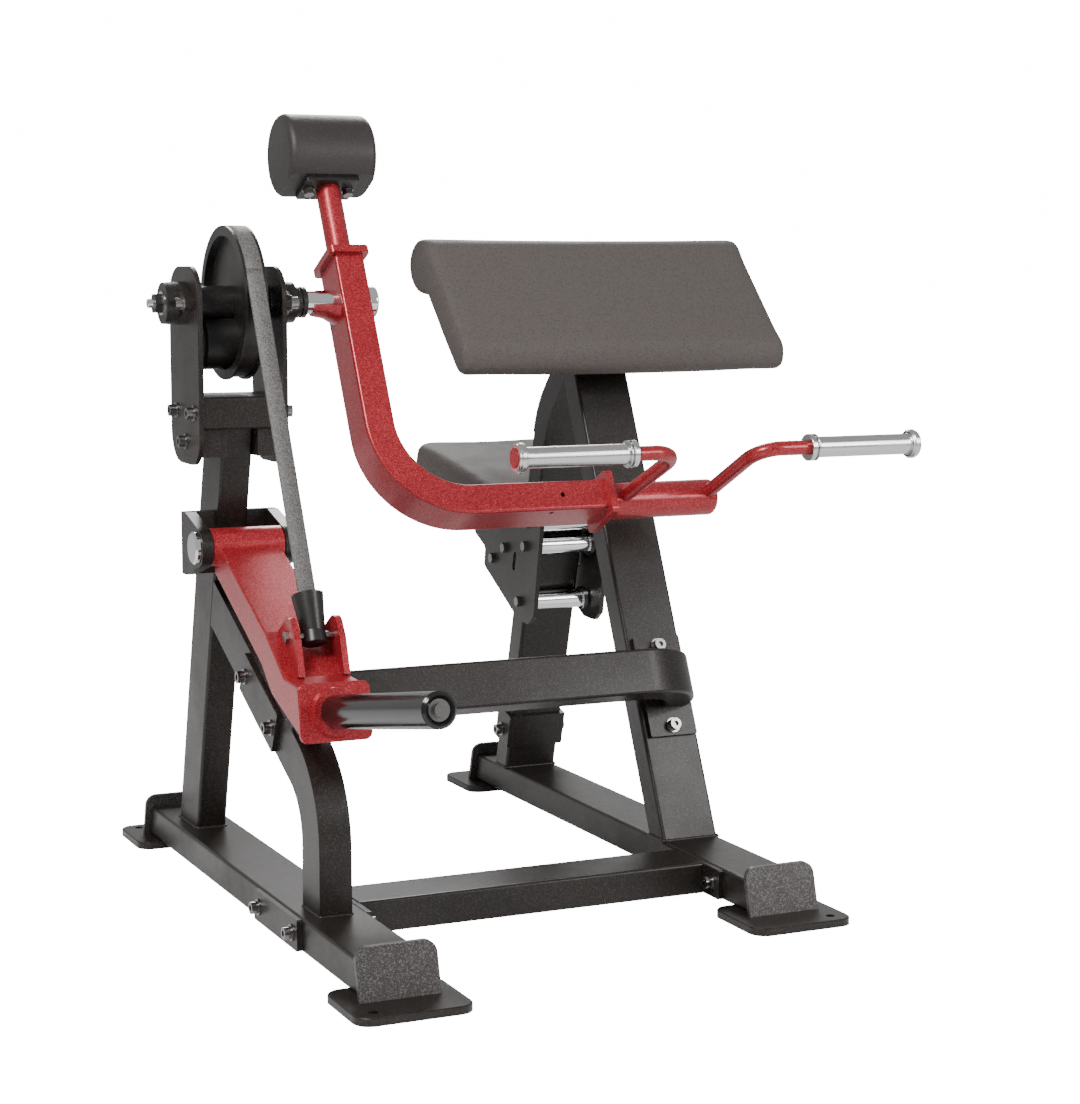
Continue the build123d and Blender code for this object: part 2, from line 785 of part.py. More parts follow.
wheel_half = belt_wide / 2 + wheel_flange
stop_drum_long = 54.0
rim_thick = 12.0
web_thick = 10.0
hub_left = tower_half_gap - 3
with BuildPart() as belt_wheel:
    with BuildSketch(side_plane(wheel_x)):
        with Locations((shaft_y, shaft_z)):
            Circle(wheel_radius)
            Circle(wheel_radius - rim_thick, mode=Mode.SUBTRACT)
    extrude(amount=wheel_half, both=True)
    for side in (-1, 1):
        with BuildSketch(facing(wheel_x + side * belt_wide / 2, shaft_y, shaft_z, side)):
            Circle(wheel_radius + belt_thick)
            Circle(wheel_radius - rim_thick, mode=Mode.SUBTRACT)
        extrude(amount=wheel_flange)
    with BuildSketch(side_plane(wheel_x)):
        with Locations((shaft_y, shaft_z)):
            Circle(wheel_radius - rim_thick / 2)
    extrude(amount=web_thick / 2, both=True)
    with BuildSketch(Plane.YZ.offset(-hub_left)):
        with Locations((shaft_y, shaft_z)):
            Circle(hub_radius)
    extrude(amount=2 * hub_left)
    with BuildSketch(Plane.YZ.offset(-hub_left)):
        with Locations((shaft_y, shaft_z)):
            Circle(shaft_radius)
    extrude(amount=2 * hub_left, mode=Mode.SUBTRACT)
keep("belt_wheel", belt_wheel)

stop_radius = 42.0
stop_drop = wheel_radius - rim_thick - stop_radius - 1
with BuildPart() as wheel_stop_drum:
    with BuildSketch(Plane.YZ.offset(wheel_x - web_thick / 2)):
        with Locations((shaft_y, shaft_z - stop_drop)):
            Circle(stop_radius)
            Circle(plate, mode=Mode.SUBTRACT)
        with Locations((shaft_y, shaft_z)):
            Circle(hub_radius + 1, mode=Mode.SUBTRACT)
    extrude(amount=-stop_drum_long)
    chamfer(wheel_stop_drum.faces().sort_by(Axis.X)[0].edges().sort_by(SortBy.LENGTH)[-1], 4)
keep("wheel_stop_drum", wheel_stop_drum)

# ---------------------------------------------------------------- swing arm
# The arm lies in a plane that holds the shaft's axis; "down" runs along its upper leg.
arm_down = Vector(0, -lean_up[0], -lean_up[1])
arm_out = Vector(0, -lean_up[1], lean_up[0])
arm_plane = Plane(origin=(0, shaft_y, shaft_z), x_dir=(1, 0, 0), z_dir=arm_out)
arm_low_centre = Vector(0, shaft_y, shaft_z) + arm_down * arm_reach
vent_radius = 4.0
vent_setback = 78.0


def down_arm(reach, x=0.0):
    """Plane square to the arm's upper leg, at a distance down from the shaft, facing up the arm."""
    centre = Vector(x, shaft_y, shaft_z) + arm_down * reach
    return Plane(origin=centre, x_dir=(1, 0, 0), z_dir=arm_down * -1)


def arm_path():
    """Centre line of the bent arm tube in the arm's own plane."""
    Line((arm_x, arm_top), (arm_x, -arm_reach + arm_bend_radius))
    bend = CenterArc((arm_x + arm_bend_radius, -arm_reach + arm_bend_radius), arm_bend_radius, 180, 90)
    Line(bend @ 1, (arm_end_x, -arm_reach))


arm_end_plane = Plane(
    origin=Vector(arm_x, shaft_y, shaft_z) + arm_down * -arm_top, x_dir=(1, 0, 0), z_dir=arm_down
)
with BuildPart() as arm_tube:
    with BuildLine(arm_plane):
        arm_path()
    with BuildSketch(arm_end_plane):
        RectangleRounded(arm_thin, arm_deep, tube_corner)
    sweep()
    with BuildLine(arm_plane) as hollow_path:
        arm_path()
    with BuildSketch(arm_end_plane):
        Rectangle(arm_thin - 2 * tube_wall, arm_deep - 2 * tube_wall)
    sweep(path=hollow_path.line, mode=Mode.SUBTRACT)
    with BuildSketch(side_plane(arm_x)):
        with Locations((shaft_y, shaft_z)):
            Circle(arm_half + 5)
    extrude(amount=arm_half + 1, both=True, mode=Mode.SUBTRACT)
    front_spot = arm_low_centre + arm_out * (arm_deep / 2)
    with BuildSketch(Plane(origin=front_spot, x_dir=(1, 0, 0), z_dir=arm_out)):
        with Locations((arm_end_x - vent_setback, 0)):
            Circle(vent_radius)
    extrude(amount=-2 * tube_wall, mode=Mode.SUBTRACT)
    under_spot = arm_low_centre + arm_down * arm_half
    with BuildSketch(Plane(origin=under_spot, x_dir=(1, 0, 0), z_dir=arm_down)):
        with Locations((arm_end_x - vent_setback - 20, arm_half)):
            Circle(vent_radius)
    extrude(amount=-2 * tube_wall, mode=Mode.SUBTRACT)
keep("arm_tube", arm_tube)

boss_left = tower_half_gap + plate + bearing_depth + 33
boss_wall = 4.0
saddle_plane = Plane(origin=(0, shaft_y, shaft_z - boss_wall), z_dir=(0, 0, 1))
with BuildPart() as arm_shaft_boss:
    with BuildSketch(Plane.XZ.offset(-shaft_y)):
        with BuildLine():
            Polyline(
                (boss_left, shaft_z),
                (boss_left, shaft_z + shaft_radius + boss_wall),
                (boss_left + 20, shaft_z + shaft_radius + 2 * boss_wall),
                (arm_x - arm_half, shaft_z + arm_deep / 2 - 2),
                (arm_x - arm_half, shaft_z),
                close=True,
            )
        make_face()
    revolve(axis=Axis((0, shaft_y, shaft_z), (1, 0, 0)))
    split(bisect_by=saddle_plane, keep=Keep.BOTTOM)
    with BuildSketch(side_plane(arm_x)):
        with Locations((shaft_y, shaft_z)):
            Circle(arm_half + 5)
    extrude(amount=arm_half, both=True)
    with BuildSketch(side_plane(arm_x)):
        with Locations((shaft_y, shaft_z)):
            Circle(shaft_radius)
    extrude(amount=arm_x, both=True, mode=Mode.SUBTRACT)
keep("arm_shaft_boss", arm_shaft_boss)

top_plate_over = 9.0
top_plate_thick = 12.0
neck_top = weight_distance - weight_flat - plate
with BuildPart() as arm_neck:
    with BuildSketch(down_arm(-arm_top - top_plate_thick, arm_x)):
        Circle(neck_radius)
        Circle(neck_radius - tube_wall, mode=Mode.SUBTRACT)
    extrude(amount=neck_top - arm_top - top_plate_thick)
keep("arm_neck", arm_neck)

weight_bolt_x = 34.0
weight_plate_size = (92.0, 66.0)
weight_edge = 12.0
weight_plate_corner = 4.0
weight_bolt_radius = 5.0
weight_bolt_depth = 26.0
with BuildPart() as counterweight_plate:
    with BuildSketch(down_arm(-neck_top, arm_x)):
        RectangleRounded(*weight_plate_size, weight_plate_corner)
        with Locations((-weight_bolt_x, 0), (weight_bolt_x, 0)):
            Circle(weight_bolt_radius, mode=Mode.SUBTRACT)
    extrude(amount=plate)
keep("counterweight_plate", counterweight_plate)

weight_centre = Vector(arm_x, shaft_y, shaft_z) + arm_down * -weight_distance
weight_face = Plane(
    origin=weight_centre - Vector(weight_length / 2, 0, 0), x_dir=arm_out, z_dir=(1, 0, 0)
)
with BuildPart() as counterweight:
    with BuildSketch(weight_face):
        Circle(weight_radius)
    extrude(amount=weight_length)
    fillet(counterweight.edges().filter_by(GeomType.CIRCLE), weight_edge)
    with BuildSketch(down_arm(-neck_top - plate, arm_x)):
        Rectangle(2 * weight_length, 4 * weight_radius)
    extrude(amount=-weight_radius, mode=Mode.SUBTRACT)
    with BuildSketch(down_arm(-neck_top - plate, arm_x)):
        with Locations((-weight_bolt_x, 0), (weight_bolt_x, 0)):
            Circle(weight_bolt_radius)
    extrude(amount=weight_bolt_depth, mode=Mode.SUBTRACT)
keep("counterweight", counterweight)

with BuildPart() as counterweight_bolts:
    for side in (-1, 1):
        seat = down_arm(-neck_top, arm_x + side * weight_bolt_x)
        with BuildSketch(seat):
            Circle(10)
        extrude(amount=-2)
        with BuildSketch(seat.offset(-2)):
            RegularPolygon(9, 6)
        extrude(amount=-8)
        with BuildSketch(seat):
            Circle(weight_bolt_radius)
        extrude(amount=plate + weight_bolt_depth - 2)
keep("counterweight_bolts", counterweight_bolts)

# ---------------------------------------------------------------- handle tube, bars and grips
def low_section(x):
    """Plane square to the handle tube at x, its own x along the arm's outward direction."""
    return Plane(origin=arm_low_centre + Vector(x, 0, 0), x_dir=arm_out, z_dir=(1, 0, 0))


with BuildPart() as arm_plates:
    with BuildSketch(down_arm(-arm_top, arm_x)):
        RectangleRounded(arm_thin + 2 * top_plate_over, arm_deep + 2 * top_plate_over, top_plate_over)
    extrude(amount=top_plate_thick)
    with BuildSketch(low_section(arm_end_x)):
        RectangleRounded(arm_deep + 2 * flange_margin, arm_thin + 2 * flange_margin + 2, flange_corner)
    extrude(amount=arm_flange_thick)
keep("arm_plates", arm_plates)

handle_start = arm_end_x + arm_flange_thick
with BuildPart() as handle_tube:
    with BuildSketch(low_section(handle_start)):
        Circle(handle_tube_radius)
    extrude(amount=handle_tube_end - handle_start)
    fillet(handle_tube.faces().sort_by(Axis.X)[-1].edges(), 10)
    with BuildSketch(low_section(handle_start)):
        Circle(handle_tube_radius - tube_wall)
    extrude(amount=handle_tube_end - handle_start - 12, mode=Mode.SUBTRACT)
keep("handle_tube", handle_tube)

bar_plane = Plane(origin=arm_low_centre, x_dir=(1, 0, 0), z_dir=arm_down * -1)
bar_overlap = 20.0


def bar_run(base_x, bend_x, side):
    """Corner points of a handle bar in the plane of the grips: base, bend and outer end."""
    outer = grip_mid_x + side * (grip_inner + grip_length - 6)
    return (base_x, -bar_overlap), (bend_x, -grip_out), (outer, -grip_out)


with BuildPart() as handle_bars:
    for base_x, bend_x, side in ((left_bar_x, left_bar_x + 20, -1), (right_bar_x, right_bar_x + 6, 1)):
        base, bend, outer = bar_run(base_x, bend_x, side)
        with BuildLine(bar_plane) as bar_line:
            FilletPolyline(base, bend, outer, radius=bar_bend_radius)
        start_dir = (Vector(*bend) - Vector(*base)).normalized()
        start_world = bar_plane.from_local_coords(Vector(*base))
        along_world = bar_plane.from_local_coords(start_dir) - bar_plane.origin
        with BuildSketch(Plane(origin=start_world, x_dir=arm_down, z_dir=along_world)):
            Circle(bar_radius)
        sweep(path=bar_line.line)
    with BuildSketch(low_section(handle_start - 1)):
        Circle(handle_tube_radius)
    extrude(amount=handle_tube_end - handle_start, mode=Mode.SUBTRACT)
keep("handle_bars", handle_bars)

grip_radius = 17.0
ring_radius = 22.0
grip_centre = arm_low_centre + arm_out * grip_out
with BuildPart() as grips:
    for side in (-1, 1):
        start = Vector(grip_mid_x + side * grip_inner, 0, 0) + grip_centre
        base = Plane(origin=start, x_dir=arm_out, z_dir=(side, 0, 0))
        with BuildSketch(base):
            Circle(grip_radius)
        extrude(amount=grip_length)
        for reach, wide in ((0, 9), (12, 3), (grip_length - 15, 3), (grip_length - 12, 12)):
            with BuildSketch(base.offset(reach)):
                Circle(ring_radius)
            extrude(amount=wide)
        with BuildSketch(base.offset(grip_length - 12)):
            Circle(ring_radius + 2)
        extrude(amount=8)
    chamfer(grips.edges().filter_by(GeomType.CIRCLE), 0.8)
    for side in (-1, 1):
        start = Vector(grip_mid_x + side * grip_inner, 0, 0) + grip_centre
        base = Plane(origin=start, x_dir=arm_out, z_dir=(side, 0, 0))
        with BuildSketch(base):
            Circle(bar_radius)
        extrude(amount=grip_length - 5, mode=Mode.SUBTRACT)
        with BuildSketch(base.offset(grip_length)):
            Circle(grip_radius - 1)
        extrude(amount=-3, mode=Mode.SUBTRACT)
keep("grips", grips)

with BuildPart() as grip_end_plugs:
    for side in (-1, 1):
        end = Vector(grip_mid_x + side * (grip_inner + grip_length - 3), 0, 0) + grip_centre
        with BuildSketch(Plane(origin=end, x_dir=arm_out, z_dir=(side, 0, 0))):
            Circle(grip_radius - 1)
        extrude(amount=4)
keep("grip_end_plugs", grip_end_plugs)

# ---------------------------------------------------------------- seat-side posts
front_angle = 90 - front_lean
front_level = tube_thin / cos(radians(front_lean))
rear_angle = 90 + rear_lean
rear_level = tube_thin / cos(radians(rear_lean))
rear_bend_turn = pad_slope - rear_lean
post_foot = (post_front, rail_top)
rear_foot = (rear_post_front, rail_top)
rear_axis = Axis((0, 0, 0), (0, cos(radians(rear_angle)), sin(radians(rear_angle))))
front_axis = Axis((0, 0, 0), (0, cos(radians(front_angle)), sin(radians(front_angle))))
bend_front = crossing(rear_foot, rear_angle, (0, rear_bend_start), 0)
bend_centre = along(bend_front, rear_angle + 90, rear_bend_radius - half_thin)
head_angle = rear_angle + rear_bend_turn
head_inner = along(bend_centre, rear_lean + rear_bend_turn, rear_bend_radius - half_thin)

# The pad's underside is square to the head of the rear post.
pad_angle = head_angle - 90
pad_corner = (pad_front_y, pad_front_top)
pad_board_line = along(pad_corner, pad_angle - 90, pad_thick)
pad_base_line = along(pad_board_line, pad_angle - 90, plate)

front_tip = crossing(post_foot, front_angle, head_inner, head_angle)
front_back = crossing((post_front + front_level, rail_top), front_angle, head_inner, head_angle)
with BuildPart() as front_post:
    with BuildSketch(side_plane(right_x)):
        with BuildLine():
            Polyline(post_foot, (post_front + front_level, rail_top), front_back, front_tip, close=True)
        make_face()
    extrude(amount=half_deep, both=True)
    fillet(front_post.edges().filter_by(front_axis), tube_corner)
    wall_level = tube_wall / cos(radians(front_lean))
    low = along((post_front + wall_level, rail_top), front_angle, -2)
    low_back = along((post_front + front_level - wall_level, rail_top), front_angle, -2)
    with BuildSketch(side_plane(right_x)):
        with BuildLine():
            Polyline(
                low,
                low_back,
                along(crossing(low_back, front_angle, head_inner, head_angle), front_angle, 3),
                along(crossing(low, front_angle, head_inner, head_angle), front_angle, 3),
                close=True,
            )
        make_face()
    extrude(amount=half_deep - tube_wall, both=True, mode=Mode.SUBTRACT)
    post_face = Plane(
        origin=(right_x, *post_foot),
        x_dir=(1, 0, 0),
        z_dir=(0, -sin(radians(front_angle)), cos(radians(front_angle))),
    )
    post_seats = [
        (
            Plane(
                origin=post_face.offset(plate).from_local_coords(
                    Vector(upper_bolt_past, upper_along + side * upper_bolt_reach, 0)
                ),
                x_dir=(1, 0, 0),
                z_dir=post_face.z_dir,
            ),
            plate + tube_wall,
        )
        for side in (-1, 1)
    ]
    drill(post_seats)
keep("front_post", front_post)

with BuildPart() as rear_post:
    with BuildSketch(side_plane(right_x)):
        with BuildLine():
            bend_rear = along(bend_front, rear_lean, tube_thin)
            Polyline(rear_foot, (rear_post_front + rear_level, rail_top), bend_rear, bend_front, close=True)
        make_face()
    extrude(amount=half_deep, both=True)
    fillet(rear_post.edges().filter_by(rear_axis), tube_corner)
    rear_wall = tube_wall / cos(radians(rear_lean))
    with BuildSketch(side_plane(right_x)):
        with BuildLine():
            Polyline(
                along((rear_post_front + rear_wall, rail_top), rear_angle, -2),
                along((rear_post_front + rear_level - rear_wall, rail_top), rear_angle, -2),
                along(along(bend_front, rear_lean, tube_thin - tube_wall), rear_angle, 1),
                along(along(bend_front, rear_lean, tube_wall), rear_angle, 1),
                close=True,
            )
        make_face()
    extrude(amount=half_deep - tube_wall, both=True, mode=Mode.SUBTRACT)
keep("rear_post", rear_post)


def head_outline(inset):
    """Side outline of the rear post's curved head, its long sides moved in by inset."""
    inner = rear_bend_radius - half_thin + inset
    outer = rear_bend_radius + half_thin - inset
    inner_turn = along(bend_centre, rear_lean + rear_bend_turn, inner)
    outer_turn = along(bend_centre, rear_lean + rear_bend_turn, outer)
    CenterArc(bend_centre, inner, rear_lean, rear_bend_turn)
    CenterArc(bend_centre, outer, rear_lean, rear_bend_turn)
    Line(along(bend_centre, rear_lean, inner), along(bend_centre, rear_lean, outer))
    Polyline(
        inner_turn,
        crossing(inner_turn, head_angle, pad_base_line, pad_angle),
        crossing(outer_turn, head_angle, pad_base_line, pad_angle),
        outer_turn,
    )


with BuildPart() as rear_post_head:
    with BuildSketch(side_plane(right_x)):
        with BuildLine():
            head_outline(0)
        make_face()
    extrude(amount=half_deep, both=True)
    with BuildSketch(side_plane(right_x)):
        with BuildLine():
            head_outline(tube_wall)
        make_face()
    extrude(amount=half_deep - tube_wall, both=True, mode=Mode.SUBTRACT)
keep("rear_post_head", rear_post_head)

# A bolted collar strengthens the rear post just above the rail.
collar_low = 46.0
collar_tall = 62.0
collar_plate = 6.0
collar_screw_reach = collar_low + 24.0


def up_post(reach, back, x=right_x):
    """World point measured up the rear post from the rail and back from its front face."""
    spot = along(along(rear_foot, rear_angle, reach), rear_lean, back)
    return Vector(x, *spot)


def post_section(reach):
    """Plane square to the rear post: its own x from the post's middle, its own y from front to back."""
    return Plane(origin=up_post(reach, 0), x_dir=(1, 0, 0), z_dir=rear_axis.direction)


collar_seats = [
    (
        Plane(
            origin=up_post(collar_screw_reach, half_thin, right_x + side * (half_deep + collar_plate)),
            x_dir=(0, 1, 0),
            z_dir=(side, 0, 0),
        ),
        collar_plate - hole_slack,
    )
    for side in (-1, 1)
]
with BuildPart() as post_foot_collar:
    with BuildSketch(post_section(collar_low)):
        with Locations((0, half_thin - collar_plate / 2)):
            Rectangle(tube_deep + 2 * collar_plate, tube_thin + collar_plate)
        with Locations((0, half_thin)):
            RectangleRounded(tube_deep, tube_thin, tube_corner, mode=Mode.SUBTRACT)
        with Locations((0, tube_thin)):
            Rectangle(tube_deep, 2 * tube_corner, mode=Mode.SUBTRACT)
    extrude(amount=collar_tall)
    drill(collar_seats)
keep("post_foot_collar", post_foot_collar)

# ---------------------------------------------------------------- upper cross tube and its plates
upper_plane = Plane(
    origin=post_face.from_local_coords(Vector(-right_x, upper_along, 0)),
    x_dir=(1, 0, 0),
    z_dir=post_face.y_dir,
)
upper_start_x = half_thin + plate
upper_bend_x = upper_butt_x - upper_bend_radius
upper_out = plate + upper_bend_radius


def upper_path():
    """Centre line of the upper cross tube: straight along X, then turned into the post."""
    Line((upper_start_x, -upper_out), (upper_bend_x, -upper_out))
    CenterArc((upper_bend_x, -plate), upper_bend_radius, -90, 90)


upper_section = Plane(
    origin=upper_plane.from_local_coords(Vector(upper_start_x, -upper_out, 0)),
    x_dir=post_face.y_dir,
    z_dir=(1, 0, 0),
)
with BuildPart() as upper_cross_tube:
    with BuildLine(upper_plane):
        upper_path()
    with BuildSketch(upper_section):
        RectangleRounded(upper_tube_deep, tube_thin, tube_corner)
    sweep()
    with BuildLine(upper_plane) as upper_hollow:
        upper_path()
    with BuildSketch(upper_section):
        Rectangle(upper_tube_deep - 2 * tube_wall, tube_thin - 2 * tube_wall)
    sweep(path=upper_hollow.line, mode=Mode.SUBTRACT)
keep("upper_cross_tube", upper_cross_tube)

upper_plate_end = 17.0
upper_plate_long = 2 * (upper_bolt_reach + upper_plate_end)
plate_corner = 3.0
plate_overlap = 14.0
brace_plane_left = Plane(
    origin=(-half_thin, *brace_centre),
    x_dir=(0, cos(radians(brace_rise)), sin(radians(brace_rise))),
    z_dir=(-1, 0, 0),
)
brace_plane_right = Plane(
    origin=(half_thin, *brace_centre),
    x_dir=(0, cos(radians(brace_rise)), sin(radians(brace_rise))),
    z_dir=(1, 0, 0),
)
with BuildPart() as cross_tube_plates:
    with BuildSketch(post_face):
        with Locations((upper_bolt_past, upper_along)):
            RectangleRounded(tube_deep - plate_overlap, upper_plate_long, plate_corner)
    extrude(amount=plate)
    for brace_plane, over in ((brace_plane_right, plate_overlap), (brace_plane_left, -plate_overlap / 2)):
        with BuildSketch(brace_plane):
            RectangleRounded(upper_plate_long, upper_tube_deep + over, plate_corner)
        extrude(amount=plate)
    for x_mid in (-half_deep - plate / 2, half_deep + plate / 2, right_x - half_deep - plate / 2):
        with BuildSketch(side_plane(x_mid)):
            with Locations((cross_y, rail_low + half_thin)):
                RectangleRounded(cross_plate_long, tube_thin - 2 * edge_break, 2 * edge_break)
        extrude(amount=plate / 2, both=True)
    drill(post_seats + brace_seats + cross_seats_left + cross_seats_inner)
keep("cross_tube_plates", cross_tube_plates)

# ---------------------------------------------------------------- arm pad, board and bracket
head_middle = along(head_inner, rear_lean + rear_bend_turn, half_thin)
pad_middle = crossing(head_middle, head_angle, pad_board_line, pad_angle)
pad_bracket_plane = Plane(
    origin=(right_x, *pad_middle),
    x_dir=(1, 0, 0),
    z_dir=(0, cos(radians(pad_angle - 90)), sin(radians(pad_angle - 90))),
)
bracket_wide = 150.0
bracket_long = 170.0
with BuildPart() as arm_pad_bracket:
    with BuildSketch(pad_bracket_plane):
        RectangleRounded(bracket_wide, bracket_long, 10)
    extrude(amount=plate)
keep("arm_pad_bracket", arm_pad_bracket)

board_wide = pad_wide - 90
board_long = 190.0
board_corner = 15.0
with BuildPart() as arm_pad_board:
    with BuildSketch(pad_bracket_plane):
        RectangleRounded(board_wide, board_long, board_corner)
    extrude(amount=-board_thick)
keep("arm_pad_board", arm_pad_board)

roll_centre = (pad_roll_y, pad_roll_z)
roll_away = hypot(pad_roll_y - pad_front_y, pad_roll_z - pad_front_top)
top_angle = degrees(
    atan2(pad_roll_z - pad_front_top, pad_roll_y - pad_front_y) + asin(pad_roll_radius / roll_away)
)
with BuildPart() as arm_pad:
    with BuildSketch(side_plane(right_x)):
        with BuildLine():
            Polyline(
                pad_corner,
                along(roll_centre, top_angle + 90, pad_roll_radius),
                roll_centre,
                crossing(roll_centre, pad_angle - 90, pad_board_line, pad_angle),
                crossing((pad_front_y, 0), 90, pad_board_line, pad_angle),
                close=True,
            )
        make_face()
        with Locations(roll_centre):
            Circle(pad_roll_radius)
    extrude(amount=pad_wide / 2, both=True)
    fillet(arm_pad.edges().filter_by(Axis.X).group_by(Axis.Y)[0], pad_round)
    fillet(arm_pad.faces().filter_by(Axis.X).edges(), pad_side_round)
    with BuildSketch(pad_bracket_plane):
        RectangleRounded(board_wide, board_long, board_corner)
    extrude(amount=-board_thick, mode=Mode.SUBTRACT)
keep("arm_pad", arm_pad)

# ---------------------------------------------------------------- seat carriage
carriage_half = half_deep + carriage_gap
carriage_out = carriage_half + plate
post_back = Vector(0, cos(radians(rear_lean)), sin(radians(rear_lean)))
bracket_top = seat_underside
bracket_shoulder = 240.0
side_outline = (
    (-64, front_roller_heights[2] + 24),
    (16, front_roller_heights[2] + 24),
    (78, bracket_top - plate),
    (bracket_shoulder, bracket_top - plate),
    (211, 395),
    (158, 386),
    (154, 351),
    (41, 326),
    (-20, 312),
    (-63, 322),
    (-80, 344),
)


def post_side(x):
    """Plane along the side of the rear post: its own x runs back, its own y runs up the post."""
    return Plane(origin=up_post(0, 0, x), x_dir=post_back, z_dir=(1, 0, 0))


roller_centres = [(-roller_radius - roller_clear, reach) for reach in front_roller_heights]
roller_centres.append((tube_thin + roller_radius + roller_clear, rear_roller_height))
roller_names = ("front_roller_low", "front_roller_mid", "front_roller_top", "rear_roller")

with BuildPart() as carriage_side_plates:
    for side in (-1, 1):
        with BuildSketch(post_side(right_x + side * (carriage_half + plate / 2))):
            with BuildLine():
                Polyline(*side_outline, close=True)
            make_face()
            with Locations(*roller_centres):
                Circle(shank_radius, mode=Mode.SUBTRACT)
            with Locations((clamp_back, clamp_height)):
                Circle(shank_radius, mode=Mode.SUBTRACT)
            with Locations(Location((half_thin, slot_height), 90)):
                SlotOverall(3 * slot_wide, slot_wide, mode=Mode.SUBTRACT)
        extrude(amount=plate / 2, both=True)
    corners = carriage_side_plates.edges().filter_by(Axis.X).filter_by(GeomType.LINE)
    fillet([corner for corner in corners if corner.length == plate], 2 * tube_corner)
keep("carriage_side_plates", carriage_side_plates)

for label, centre in zip(roller_names, roller_centres):
    with BuildPart() as roller:
        with BuildSketch(post_side(right_x)):
            with Locations(centre):
                Circle(roller_radius)
        extrude(amount=half_deep + 0.6, both=True)
        for side in (-1, 1):
            with BuildSketch(post_side(right_x + side * (half_deep + 0.6))):
                with Locations(centre):
                    Circle(roller_flange)
            extrude(amount=side * (carriage_gap - 4))
            with BuildSketch(post_side(right_x + side * (carriage_half - 3.4))):
                with Locations(centre):
                    Circle(roller_radius - 5)
            extrude(amount=side * 3)
        with BuildSketch(post_side(right_x)):
            with Locations(centre):
                Circle(roller_bore)
        extrude(amount=carriage_half, both=True, mode=Mode.SUBTRACT)
    keep(label, roller)

with BuildPart() as carriage_bolts:
    for centre in roller_centres:
        with BuildSketch(post_side(right_x)):
            with Locations(centre):
                Circle(shank_radius)
        extrude(amount=carriage_out, both=True)
        for side in (-1, 1):
            with BuildSketch(post_side(right_x + side * carriage_out)):
                with Locations(centre):
                    RegularPolygon(head_radius, 6)
            extrude(amount=side * plate)
    for side in (-1, 1):
        with BuildSketch(post_side(right_x + side * carriage_half)):
            with Locations((clamp_back, clamp_height)):
                Circle(shank_radius)
        extrude(amount=side * plate)
        with BuildSketch(post_side(right_x + side * carriage_out)):
            with Locations((clamp_back, clamp_height)):
                RegularPolygon(head_radius, 6)
        extrude(amount=side * plate)
keep("carriage_bolts", carriage_bolts)

knob_shank = 8.0
knob_gap = 0.4
clamp_plane = Plane(
    origin=up_post(clamp_height, tube_thin + knob_gap), x_dir=(1, 0, 0), z_dir=post_back
)
with BuildPart() as clamp_cross_block:
    with BuildSketch(post_side(right_x)):
        with Locations((clamp_back, clamp_height)):
            Rectangle(clamp_block, clamp_block)
    extrude(amount=carriage_half, both=True)
    with BuildSketch(clamp_plane):
        Circle(knob_shank + running_gap)
    extrude(amount=2 * clamp_back, mode=Mode.SUBTRACT)
keep("clamp_cross_block", clamp_cross_block)

knob_reach = 118.0
knob_radius = 20.0
knob_lobes = 5
lobe_radius = 9.0
knob_thick = 22.0
with BuildPart() as clamp_knob:
    with BuildSketch(clamp_plane):
        Circle(knob_shank + 5)
    extrude(amount=7)
    with BuildSketch(clamp_plane):
        Circle(knob_shank)
    extrude(amount=knob_reach)
    with BuildSketch(clamp_plane.offset(knob_reach)):
        Circle(knob_radius)
        with PolarLocations(knob_radius, knob_lobes):
            Circle(lobe_radius)
    extrude(amount=knob_thick)
keep("clamp_knob", clamp_knob)

bracket_front = 92.0
bracket_rear = 345.0
bracket_tip = 60.0
with BuildPart() as seat_bracket:
    with BuildSketch(post_section(seat_underside)):
        with BuildLine():
            Polyline(
                (-carriage_out, bracket_front),
                (carriage_out, bracket_front),
                (carriage_out, bracket_shoulder),
                (bracket_tip, bracket_rear),
                (-bracket_tip, bracket_rear),
                (-carriage_out, bracket_shoulder),
                close=True,
            )
        make_face()
    extrude(amount=-plate)
keep("seat_bracket", seat_bracket)



def seat_outline():
    """Plan of the seat in the plane of its underside: a trapezium, wide at the back."""
    Polyline(
        (-seat_front_half, seat_front_back),
        (seat_front_half, seat_front_back),
        (seat_rear_half, seat_front_back + seat_length),
        (-seat_rear_half, seat_front_back + seat_length),
        close=True,
    )


with BuildPart() as seat_board:
    with BuildSketch(post_section(seat_underside)) as board_plan:
        with BuildLine():
            seat_outline()
        make_face()
        fillet(board_plan.vertices(), seat_corner)
        offset(amount=-seat_board_margin, mode=Mode.REPLACE)
    extrude(amount=board_thick)
keep("seat_board", seat_board)

with BuildPart() as seat_cushion:
    with BuildSketch(post_section(seat_underside)) as seat_plan:
        with BuildLine():
            seat_outline()
        make_face()
        fillet(seat_plan.vertices(), seat_corner)
    extrude(amount=seat_thick)
    fillet(seat_cushion.faces().sort_by(rear_axis)[-1].edges(), seat_top_round)
    fillet(seat_cushion.faces().sort_by(rear_axis)[0].edges(), seat_top_round / 2)
    extrude(seat_board.faces().sort_by(rear_axis)[0], amount=-board_thick, mode=Mode.SUBTRACT)
keep("seat_cushion", seat_cushion)

